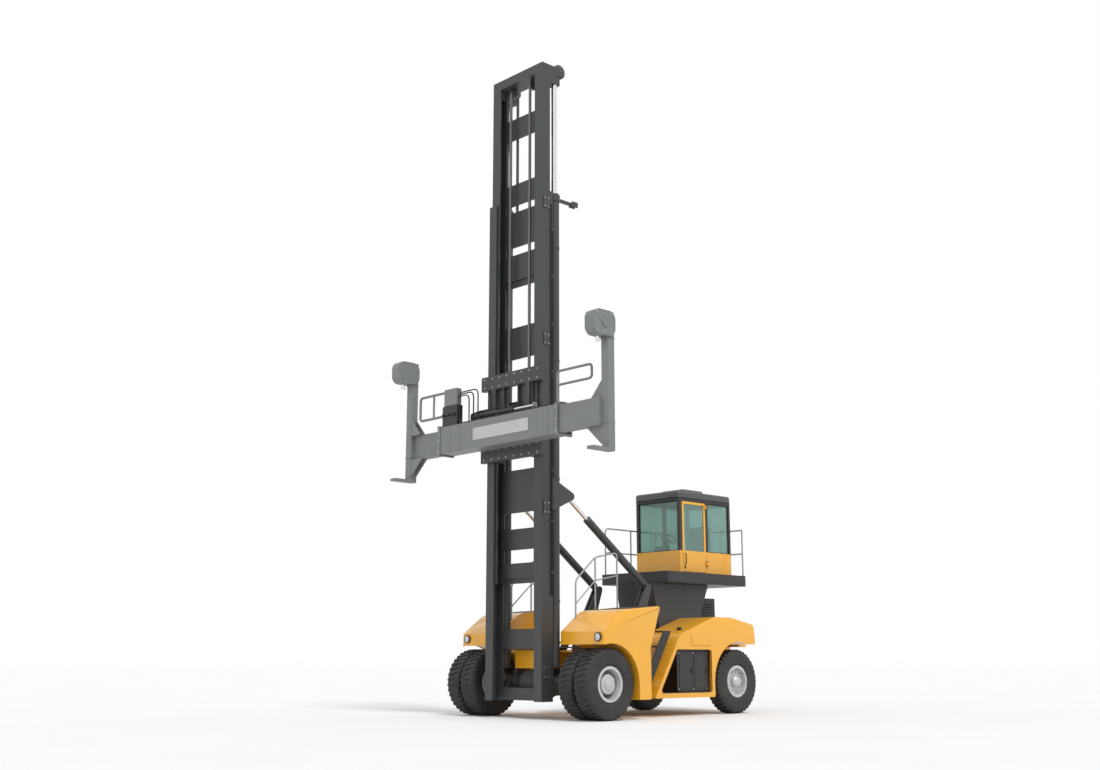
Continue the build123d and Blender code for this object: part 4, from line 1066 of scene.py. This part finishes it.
class HANDLER_OT_mast(bpy.types.Operator):
    """Makes the mast's hose sheaves, guides, foot tie, beads, pipes, covers and chain links"""

    bl_idname = "handler.mast"
    bl_label = "Mast fittings"

    def execute(self, context):
        outer, inner, sheaves, pipes, beads = Shape(), Shape(), Shape(), Shape(), Shape()
        bolts, links = [], []
        outer.box((-0.79, aft(-0.383), 0.34), (0.79, aft(-0.352), 0.58), 0.006)
        groove = [
            (-0.035, 0.0), (-0.035, 0.155), (-0.026, 0.160), (-0.010, 0.135), (0.010, 0.135), (0.026, 0.160),
            (0.035, 0.155), (0.035, 0.0),
        ]
        bore = LIFT_BARREL["radius"]
        collar = [(0.0, bore + 0.013), (0.006, bore + 0.019), (0.134, bore + 0.019), (0.14, bore + 0.013)]
        band = [(0.0, bore + 0.003), (0.006, bore + 0.008), (0.054, bore + 0.008), (0.06, bore + 0.003)]
        roller = [(-0.036, 0.045), (-0.030, 0.052), (0.030, 0.052), (0.036, 0.045)]
        for side in SIDES.values():
            # Hose sheave between two cheeks behind the crosshead's end
            cheek = rounded_outline([
                (aft(-0.30), 13.27, 0.02), (aft(0.03), 13.29, 0.06), (aft(0.06), 13.53, 0.10),
                (aft(-0.30), 13.44, 0.02),
            ])
            for x in (0.640, 0.745):
                inner.plate(cheek, side * x, side * (x + 0.014))
            centre = (side * 0.699, aft(-0.06), 13.41)
            sheaves.lathe(groove, centre, (1, 0, 0), 28)
            sheaves.rod((side * 0.630, *centre[1:]), (side * 0.770, *centre[1:]), 0.024, 12)

            # Guide arm with its roller on the lift barrel's collar
            barrel_x = side * LIFT_BARREL["x"]
            outer.lathe(collar, (barrel_x, LIFT_BARREL["y"], 10.43), (0, 0, 1), 24)
            outer.box((side * 0.685, aft(-0.11), 10.47), (side * 0.745, aft(0.34), 10.54), 0.008)
            for x in (0.660, 0.754):
                outer.box((side * x, aft(0.26), 10.45), (side * (x + 0.016), aft(0.44), 10.57), 0.006)
            roller_at = (aft(0.38), 10.51)
            outer.lathe(roller, (barrel_x, *roller_at), (1, 0, 0), 20)
            outer.rod((side * 0.655, *roller_at), (side * 0.775, *roller_at), 0.014, 10)
            for z in (2.2, 4.6, 7.0, 9.4):
                outer.lathe(band, (barrel_x, LIFT_BARREL["y"], z), (0, 0, 1), 24)
                outer.box((side * 0.66, aft(-0.352), z + 0.008), (side * 0.77, aft(-0.305), z + 0.052), 0.004)

            # Pad covers and clipped pipes on the outer side of the mast
            proud = MAST_SIDE + 0.018
            for z in (0.75, 3.9, 7.3, 10.2):
                inside = side * (MAST_SIDE - 0.001)
                outer.box((inside, aft(-0.61), z), (side * proud, aft(-0.45), z + 0.26), 0.005)
                for y in (-0.58, -0.48):
                    for high in (0.04, 0.22):
                        bolts.append(spot((side * proud, aft(y), z + high), (side, 0, 0)))
            for y, top in ((-0.40, 10.30), (-0.362, 9.80)):
                corners = ((0.80, 2.34), (proud, 2.34), (proud, top), (0.80, top))
                pipes.tube([(side * x, aft(y), z) for x, z in corners], sizes().hose, 0.03, 8)
            for step in range(8):
                low, high = 2.75 + step, 2.79 + step
                inside, outside = side * (MAST_SIDE - 0.002), side * (MAST_SIDE + 0.036)
                outer.box((inside, aft(-0.424), low), (outside, aft(-0.352), high), 0.004)

            for heights in OUTER_CROSS_PLATES:
                beads.tube([(side * 0.602, MAST_BACK, z) for z in heights], 0.008, 0.0, 6)
            for x in (side * 0.340, side * 0.246):
                outer.box((x, aft(-0.352), 10.13), (x + side * 0.014, aft(-0.300), 10.37), 0.004)
            for y, low, high in ((-0.52, 6.70, 12.98), (-0.325, 10.30, 12.98)):
                for step in range(int((high - low) / CHAIN_PITCH) + 1):
                    links.append(spot((side * CHAIN_X, aft(y), low + CHAIN_PITCH * step), (0, 0, 1)))
        outer.piece("Mast_fittings", mast_paint, "outer_mast")
        inner.piece("Crosshead_cheeks", mast_paint, "inner_mast")
        sheaves.piece("Hose_sheaves", chain_steel, "inner_mast")
        pipes.piece("Mast_pipes", moulding, "outer_mast")
        beads.piece("Mast_weld_beads", mast_paint, "outer_mast")
        copies("Mast_cover_bolts", bolt_unit(sizes().bolt * 0.7), bolts, zinc_steel, "outer_mast")
        link = Shape().rod((-0.0335, 0, 0), (0.0335, 0, 0), 0.0095, 8)
        for x in (-0.031, 0.0265):
            link.box((x, -0.0165, -0.033), (x + 0.0045, 0.0165, 0.033), 0.002)
        copies("Leaf_chain_links", link, links, chain_steel, "inner_mast")
        return {"FINISHED"}


class HANDLER_OT_carriage(bpy.types.Operator):
    """Makes the carriage's front skin, its bolts and the side-shift cylinder"""

    bl_idname = "handler.carriage"
    bl_label = "Carriage and side shift"

    def execute(self, context):
        skin, barrel, rod, bolts = Shape(), Shape(), Shape(), []
        for x0, x1 in ((-0.72, -0.13), (0.13, 0.72)):
            skin.box((x0, aft(-0.690), 5.33), (x1, aft(-0.655), 6.57), 0.006)
        skin.box((-0.14, aft(-0.684), 5.33), (0.14, aft(-0.655), 5.98), 0.006)
        for x in (-0.62, -0.22, 0.22, 0.62):
            skin.box((x - 0.010, aft(-0.750), 5.34), (x + 0.010, aft(-0.685), 6.56), 0.004)
        holder = rounded_outline([
            (aft(-0.97), 5.94, 0.05), (aft(-0.97), 6.08, 0.05), (aft(-0.68), 6.20, 0.01),
            (aft(-0.68), 5.90, 0.01),
        ])
        skin.box((-0.995, aft(-0.690), 5.91), (-0.71, aft(-0.656), 6.19), 0.006)
        for x in (-0.984, 0.250):
            skin.plate(holder, x - 0.011, x + 0.011)
        skin.piece("Carriage_skin", mast_paint, "carriage")
        centre = (aft(-0.905), 6.012)
        shell = [
            (0.0, 0.046), (0.006, 0.052), (1.22, 0.052), (1.222, 0.060), (1.268, 0.060), (1.27, 0.032),
            (1.27, 0.0295),
        ]
        barrel.lathe(shell, (-1.00, *centre), (1, 0, 0), 24)
        ports = (-0.86, 0.12)
        for x in ports:
            barrel.rod((x, centre[0], centre[1] + 0.045), (x, centre[0], centre[1] + 0.085), 0.016, 8)
        corners = ((ports[0], 6.09), (ports[0], 6.12), (ports[1], 6.12), (ports[1], 6.09))
        barrel.tube([(x, centre[0], z) for x, z in corners], 0.009, 0.03, 6)
        barrel.piece("Shift_barrel", black_paint, "carriage")
        rod.rod((-0.37, *centre), (0.872, *centre), 0.0275, 16)
        rod.piece("Shift_rod", rod_steel, "spreader")
        for x in (-0.80, -0.56, -0.34, -0.12, 0.12, 0.34, 0.56, 0.80):
            for z in (5.11, 5.29, 6.61, 6.79):
                bolts.append(spot((x, CARRIAGE_FRONT, z), (0, -1, 0)))
        copies("Carriage_bolts", bolt_unit(sizes().bolt * 0.8), bolts, zinc_steel, "carriage")
        return {"FINISHED"}


class HANDLER_OT_spreader(bpy.types.Operator):
    """Makes the spreader's collars, gussets, valve boxes, guards, pipes, panel and bolts"""

    bl_idname = "handler.spreader"
    bl_label = "Spreader fittings"

    def execute(self, context):
        grey, dark, pipes, bolts = Shape(), Shape(), Shape(), []
        back, front = BEAM_BACK, BEAM_FRONT
        for side in SIDES.values():
            x = (side * 1.735, side * 1.812)
            for low in (BEAM_TOP - 0.002, BEAM_LOW - 0.027):
                grey.box((x[0], front - 0.028, low), (x[1], back + 0.026, low + 0.029), 0.005)
            grey.box((x[0], front - 0.028, 5.290), (x[1], front + 0.002, 5.880), 0.005)
            grey.box((x[0], back - 0.002, 5.290), (x[1], back + 0.026, 5.880), 0.005)
            for z in (5.36, 5.585, 5.81):
                bolts.append(spot((side * 1.774, front - 0.028, z), (0, -1, 0)))
            for near, far in ((1.10, 1.20), (1.42, 1.52)):
                grey.box((side * near, front - 0.010, 5.33), (side * far, front + 0.002, 5.84), 0.004)
        seat = BEAM_TOP - 0.004
        grey.box((0.872, aft(-0.955), seat), (0.905, aft(-0.855), 6.070), 0.006)
        grey.plate([(0.905, 5.868), (1.06, 5.868), (0.905, 6.02)], aft(-0.915), aft(-0.895), 1)
        panel = Shape().plate(rectangle(-0.68, 0.97, 5.47, 5.72, 0.02), front + 0.002, front - 0.007, 1)
        panel.piece("Blank_panel", pale_panel, "spreader")

        # Valve boxes of the far side, with the guards' bent tubes beside them
        dark.box((-1.70, aft(-1.155), seat), (-1.22, aft(-0.985), 6.30), 0.014)
        grey.box((-1.66, aft(-1.145), 6.295), (-1.26, aft(-0.990), 6.66), 0.014)
        for x in (-1.62, -1.46, -1.30):
            valve = [(0.0, 0.030), (0.04, 0.030), (0.046, 0.020), (0.07, 0.020)]
            dark.lathe(valve, (x, aft(-1.150), 6.10), (0, -1, 0), 14)
        for radius, bend, corners in (
            (0.028, 0.08, ((-1.60, 6.62), (-2.56, 6.62), (-2.56, 6.12), (-1.68, 6.12))),
            (0.022, 0.0, ((-2.10, 6.12), (-2.10, 6.62))),
            (0.025, 0.08, ((1.70, 5.86), (1.70, 6.53), (2.62, 6.53), (2.62, 6.26), (1.70, 6.26))),
        ):
            grey.tube([(x, aft(-1.06), z) for x, z in corners], radius, bend, 10)
        dark.box((1.62, aft(-1.05), seat), (1.80, aft(-0.89), 5.93), 0.008)
        for step, reach in enumerate((0.70, 0.80, 0.90)):
            high = 6.57 - 0.05 * step
            corners = ((-1.27, high), (-reach, high), (-reach, 5.86))
            pipes.tube([(x, aft(-1.02 - 0.035 * step), z) for x, z in corners], sizes().hose, 0.14, 8)
        corners = ((-1.22, 5.97), (-1.14, 5.97), (-1.14, 5.889), (1.64, 5.889))
        for y in (-1.09, -1.125):
            pipes.tube([(x, aft(y), z) for x, z in corners], sizes().hose, 0.05, 8)
        for x in (-0.55, 0.0, 0.55, 1.10):
            dark.box((x, aft(-1.15), seat), (x + 0.05, aft(-1.065), 5.912), 0.005)
        grey.piece("Spreader_fittings", spreader_paint, "spreader")
        dark.piece("Spreader_valves", black_paint, "spreader")
        pipes.piece("Spreader_pipes", moulding, "spreader")
        copies("Spreader_bolts", bolt_unit(sizes().bolt), bolts, zinc_steel, "spreader")

        for name, side in SIDES.items():
            arm = Shape()
            for reach, foot, tip in ((2.47, 5.33, 4.95), (2.56, 5.84, 6.20)):
                corners = [(side * 2.88, foot, 0), (side * reach, foot, 0.02), (side * 2.88, tip, 0.02)]
                for near in (-1.055, -0.925):
                    arm.plate(rounded_outline(corners), aft(near), aft(near + 0.020), 1)
            for z in (5.36, 6.94):
                inside, outside = side * (ARM_OUT - 0.092), side * (ARM_OUT + 0.092)
                arm.box((inside, aft(-1.075), z), (outside, aft(-0.885), z + 0.03), 0.004)
            lid = [(0.0, 0.085), (0.012, 0.085), (0.016, 0.078), (0.024, 0.078)]
            arm.lathe(lid, (side * (HEAD_SIDE - 0.001), aft(-1.18), 7.22), (side, 0, 0), 24)
            arm.piece(f"Arm_fittings_{name}", spreader_paint, f"arm_{name}")
            spots = []
            for y in (-1.38, -1.18, -0.98):
                for z in (7.05, 7.39):
                    spots.append(spot((side * HEAD_SIDE, aft(y), z), (side, 0, 0)))
            copies(f"Head_bolts_{name}", bolt_unit(sizes().bolt * 0.8), spots, zinc_steel, f"arm_{name}")
        return {"FINISHED"}


class HANDLER_OT_cab(bpy.types.Operator):
    """Makes the cab's roof and its unit, the gaskets, the door's pull, the seat and the controls"""

    bl_idname = "handler.cab"
    bl_label = "Cab"

    def execute(self, context):
        rim = rectangle(-0.665, 0.665, aft(3.60), aft(5.44), 0.11)
        lid = soften(prism(rim, 4.612, 4.76, "Lid", 2), lambda a, b: min(a.z, b.z) > 4.759, 0.05)
        roof, unit, seals, trim, pull = Shape(), Shape(), Shape(), Shape(), Shape()
        roof.take(lid)
        for x in (-0.50, 0.42):
            roof.box((x, aft(3.80), 4.752), (x + 0.08, aft(5.24), 4.772), 0.009)
        roof.piece("Cab_roof", roof_paint, "chassis", ("cab_roof",))
        unit.box((-0.33, aft(4.15), 4.752), (0.33, aft(4.85), 4.862), 0.028)
        for count in range(5):
            low = 4.776 + 0.014 * count
            unit.box((-0.26, aft(4.143), low), (0.26, aft(4.155), low + 0.007), 0.002)
        unit.piece("Roof_unit", roof_paint, "chassis")

        loops = [[(-0.562, aft(y)), (0.562, aft(y))] for y in (3.682, 5.378)]
        for x, near, far in ((-0.618, 3.728, 4.515), (-0.618, 4.62, 5.322), (0.618, 4.62, 5.322)):
            loops.append([(x, aft(near)), (x, aft(far))])
        for start, end in loops:
            loop = [(*start, PANE_LOW), (*end, PANE_LOW), (*end, PANE_HIGH), (*start, PANE_HIGH)]
            seals.tube(loop + loop[:2], 0.009, 0.03, 6)
        seals.piece("Window_seals", moulding, "chassis")

        corners = ((0.634, 3.16), (0.682, 3.16), (0.682, 3.38), (0.634, 3.38))
        pull.tube([(x, aft(3.80), z) for x, z in corners], 0.010, 0.02, 8)
        pull.box((0.636, aft(3.785), 3.06), (0.650, aft(3.825), 3.13), 0.004)
        pull.piece("Door_pull", moulding, "cab_door")

        middle = aft(4.525)
        for name, low, high in (
            ("Driver_cushion", (-0.235, middle + 0.01, 3.448), (0.235, middle + 0.50, 3.545)),
            ("Driver_back_cushion", (-0.225, middle + 0.425, 3.56), (0.225, middle + 0.514, 4.06)),
        ):
            outline = rectangle(low[0], high[0], low[1], high[1], 0.03)
            pad = soften(prism(outline, low[2], high[2], "Pad", 2), lambda a, b: abs(a.z - b.z) < 1e-4, 0.028)
            Shape().take(pad).piece(name, seat_cloth, "chassis")

        aim = Vector((0, 0.42, 0.91)).normalized()
        start = Vector((0, aft(3.86), 3.44))
        hub = start + aim * 0.34
        trim.rod(start, hub, 0.034, 16)
        wheel, grip = 0.17, 0.013
        turns = [math.tau * step / 8 for step in range(8)]
        loop = [(grip * math.sin(turn), wheel + grip * math.cos(turn)) for turn in turns]
        trim.lathe(loop + loop[:1], hub, aim, 32)
        for _, _, out in ring(hub, aim, wheel, 3, 0.25):
            trim.rod(hub - aim * 0.02, hub + out * (wheel - 0.002), 0.009, 8)
        trim.box((-0.20, aft(3.71), 3.445), (0.20, aft(3.84), 3.56), 0.02)
        for side in SIDES.values():
            trim.rod((side * 0.13, aft(3.87), 3.44), (side * 0.13, aft(3.89), 3.58), 0.008, 8)
            trim.lathe([(0.0, 0.0), (0.004, 0.014), (0.018, 0.018), (0.032, 0.012), (0.036, 0.0)],
                       (side * 0.13, aft(3.89), 3.57), (0, 0.1, 1), 12)
        trim.piece("Controls", moulding, "chassis")
        return {"FINISHED"}


class HANDLER_OT_platform(bpy.types.Operator):
    """Makes the platform's grating and side rail and the fenders' handrails"""

    bl_idname = "handler.platform"
    bl_label = "Platform and rails"

    def execute(self, context):
        pitch = 0.045
        spots = [spot((0.0, aft(2.90 + pitch * count), PLATFORM_TOP), (0, 0, 1)) for count in range(16)]
        long_bar = Shape().box((-0.93, -0.005, 0.0), (0.93, 0.005, 0.016), 0.001)
        copies("Platform_grating", long_bar, spots, black_paint, "chassis")
        spots = []
        for side in SIDES.values():
            for count in range(39):
                spots.append(spot((side * 0.795, aft(3.66 + pitch * count), PLATFORM_TOP), (0, 0, 1)))
        short_bar = Shape().box((-0.135, -0.005, 0.0), (0.135, 0.005, 0.016), 0.001)
        copies("Side_grating", short_bar, spots, black_paint, "chassis")

        edge = Shape()
        for side in SIDES.values():
            edge.box((side * 0.946, aft(2.86), 2.74), (side * 0.958, aft(5.49), 2.955), 0.003)
        edge.box((-0.95, aft(2.842), 2.74), (0.95, aft(2.854), 2.955), 0.003)
        edge.box((-0.95, aft(5.496), 2.74), (0.95, aft(5.508), 2.955), 0.003)
        edge.piece("Platform_edge", black_paint, "chassis")

        rails = Shape()
        rail_x = -0.916
        for z in (3.45, 3.98):
            corners = ((5.466, z), (2.92, z), (2.92, 2.915))
            rails.tube([(rail_x, aft(y), height) for y, height in corners], 0.017, 0.10, 10)
        for y in (3.75, 4.60):
            rails.rod((rail_x, aft(y), 2.915), (rail_x, aft(y), 3.98), 0.017, 10)
        foot = [(0.0, 0.036), (0.007, 0.036), (0.009, 0.032), (0.009, 0.0)]
        for y in (2.92, 3.75, 4.60, 5.466):
            rails.lathe(foot, (rail_x, aft(y), PLATFORM_TOP), (0, 0, 1), 16)
        for side in SIDES.values():
            x = side * 0.94
            posts = ((0.15, 1.895, 2.64), (0.70, 2.07, 3.12), (1.33, 2.125, 3.24))
            upper = [(x, aft(y), top) for y, _, top in posts]
            ends = [(x, aft(y), low) for y, low, _ in (posts[0], posts[-1])]
            rails.tube([ends[0], *upper, ends[1]], 0.017, 0.09, 10)
            rails.rod((x, aft(0.70), 2.07), (x, aft(0.70), 3.11), 0.017, 10)
            rails.tube([(x, aft(y), top - 0.46) for y, _, top in posts], 0.014, 0.0, 8)
        rails.piece("Hand_rails", rail_steel, "chassis")
        return {"FINISHED"}


class HANDLER_OT_hood(bpy.types.Operator):
    """Makes the engine hood's louvres and grille, and the exhaust beside it"""

    bl_idname = "handler.hood"
    bl_label = "Hood and exhaust"

    def execute(self, context):
        slats = []
        for side in SIDES.values():
            for count in range(5):
                for start in (4.16, 4.56):
                    place = Vector((side * 0.452, aft(start + 0.17), 2.08 + 0.06 * count))
                    slats.append((place, Vector((side, 0, 0.9)), Vector((0, 1, 0))))
        blade = Shape().box((-0.165, -0.018, 0.0), (0.165, 0.018, 0.008), 0.002)
        copies("Hood_louvres", blade, slats, black_paint, "chassis")
        grille = Shape()
        for count in range(8):
            low = 1.86 + 0.062 * count
            grille.box((-0.36, aft(4.996), low), (0.36, aft(5.012), low + 0.024), 0.004)
        for x in (-0.38, 0.355):
            grille.box((x, aft(4.996), 1.83), (x + 0.025, aft(5.016), 2.37), 0.004)
        for z in (1.83, 2.345):
            grille.box((-0.38, aft(4.996), z), (0.38, aft(5.016), z + 0.025), 0.004)
        grille.box((-0.462, aft(4.053), 2.02), (0.462, aft(4.066), 2.05), 0.003)
        grille.piece("Hood_grille", black_paint, "chassis")

        pipe = Shape()
        low = (-0.74, aft(3.98), 1.985)
        muffler = [
            (0.0, 0.060), (0.05, 0.060), (0.075, 0.092), (0.43, 0.092), (0.455, 0.060), (0.48, 0.042),
            (0.48, 0.0),
        ]
        strap = [(0.0, 0.096), (0.004, 0.0985), (0.026, 0.0985), (0.03, 0.096)]
        pipe.lathe(muffler, low, (0, 0, 1), 24)
        for rise in (0.13, 0.36):
            pipe.lathe(strap, (low[0], low[1], low[2] + rise), (0, 0, 1), 24)
        pipe.tube([(low[0], low[1], 2.44), (low[0], low[1], 2.60), (-1.10, low[1], 2.60)], 0.038, 0.10, 14)
        pipe.piece("Exhaust", exhaust_steel, "chassis")
        return {"FINISHED"}


class HANDLER_OT_finishes(bpy.types.Operator):
    """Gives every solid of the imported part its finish"""

    bl_idname = "handler.finishes"
    bl_label = "Finishes of the solids"

    def execute(self, context):
        grime_group()
        chips_group()
        for make, names in NODE_FINISHES.items():
            for name in names:
                nodes[name].data.materials.clear()
                nodes[name].data.materials.append(make())
        return {"FINISHED"}


class HANDLER_OT_stage(bpy.types.Operator):
    """Lays the pale floor, sets the soft lights and places the camera"""

    bl_idname = "handler.stage"
    bl_label = "Floor, lights and camera"

    def execute(self, context):
        scene = context.scene
        scene.view_settings.view_transform = "Standard"
        floor_half = 400.0
        mesh = bpy.data.meshes.new("Studio_floor")
        corners = [(x * floor_half, y * floor_half, 0.0) for x, y in ((-1, -1), (1, -1), (1, 1), (-1, 1))]
        mesh.from_pydata(corners, [], [(0, 1, 2, 3)])
        floor = bpy.data.objects.new("Studio_floor", mesh)
        scene.collection.objects.link(floor)

        def floor_build(tree, shader):
            shader.inputs["Roughness"].default_value = 0.9
            shade = ramp(tree, noise(tree, object_place(tree), 0.4, 3.0), 0.3, 0.7, 0.90, 0.92)
            node = add(tree, "ShaderNodeCombineColor")
            for count in range(3):
                tree.links.new(shade, node.inputs[count])
            tree.links.new(node.outputs[0], shader.inputs["Base Color"])

        mesh.materials.append(material("Studio floor", floor_build))

        world = bpy.data.worlds.new("Studio")
        scene.world = world
        world.use_nodes = True
        tree = world.node_tree
        ground = tree.nodes["Background"]
        ground.inputs["Color"].default_value = (1.0, 1.0, 1.0, 1.0)
        ground.inputs["Strength"].default_value = 0.62
        white = add(tree, "ShaderNodeBackground")
        white.inputs["Color"].default_value = (1.0, 1.0, 1.0, 1.0)
        path = add(tree, "ShaderNodeLightPath")
        seen = math_node(tree, "MAXIMUM", path.outputs["Is Camera Ray"], path.outputs["Is Transmission Ray"])
        seen = math_node(tree, "MAXIMUM", seen, path.outputs["Is Glossy Ray"])
        both = add(tree, "ShaderNodeMixShader")
        tree.links.new(seen, both.inputs[0])
        tree.links.new(ground.outputs[0], both.inputs[1])
        tree.links.new(white.outputs[0], both.inputs[2])
        tree.links.new(both.outputs[0], tree.nodes["World Output"].inputs["Surface"])

        for name, turn, energy, angle in (
            ("Key_sun", (math.radians(38), 0.0, math.radians(72)), 1.5, 0.20),
            ("Fill_sun", (math.radians(55), 0.0, math.radians(5)), 0.35, 0.9),
        ):
            lamp = bpy.data.lights.new(name, "SUN")
            lamp.energy = energy
            lamp.angle = angle
            body = bpy.data.objects.new(name, lamp)
            body.rotation_euler = turn
            scene.collection.objects.link(body)

        eye = Vector((19.009, aft(-17.697), 1.109))
        yaw, pitch = math.radians(46.486), math.radians(12.114)
        camera = bpy.data.cameras.new("Photo_camera")
        camera.sensor_width = 36.0
        camera.sensor_fit = "HORIZONTAL"
        camera.lens = 41.94
        camera.clip_end = 2000.0
        holder = bpy.data.objects.new("Photo_camera", camera)
        holder.location = eye
        holder.rotation_euler = (math.pi / 2 + pitch, 0.0, yaw)
        scene.collection.objects.link(holder)
        scene.camera = holder
        return {"FINISHED"}


class HANDLER_PT_panel(bpy.types.Panel):
    """Lists the pieces that the add-on makes"""

    bl_idname = "HANDLER_PT_panel"
    bl_label = "Container handler"
    bl_space_type = "VIEW_3D"
    bl_region_type = "UI"
    bl_category = "Handler"

    def draw(self, context):
        for step in STEPS:
            self.layout.operator(step.bl_idname, text=step.bl_label)
        for group in (context.scene.handler_paint, context.scene.handler_sizes):
            for key in group.bl_rna.properties.keys():
                if key not in ("rna_type", "name"):
                    self.layout.prop(group, key)


STEPS = [
    HANDLER_OT_finishes, HANDLER_OT_fenders, HANDLER_OT_rear_body, HANDLER_OT_tyres, HANDLER_OT_mast,
    HANDLER_OT_carriage, HANDLER_OT_spreader, HANDLER_OT_cab, HANDLER_OT_platform, HANDLER_OT_hood,
    HANDLER_OT_stage,
]
CLASSES = [HandlerPaint, HandlerSizes, *STEPS, HANDLER_PT_panel]


def register():
    for cls in CLASSES:
        bpy.utils.register_class(cls)
    bpy.types.Scene.handler_paint = bpy.props.PointerProperty(type=HandlerPaint)
    bpy.types.Scene.handler_sizes = bpy.props.PointerProperty(type=HandlerSizes)


def unregister():
    del bpy.types.Scene.handler_sizes
    del bpy.types.Scene.handler_paint
    for cls in reversed(CLASSES):
        bpy.utils.unregister_class(cls)


def main():
    """Registers the add-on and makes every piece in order."""
    register()
    for step in STEPS:
        area, name = step.bl_idname.split(".")
        getattr(getattr(bpy.ops, area), name)()


if __name__ == "__main__":
    main()
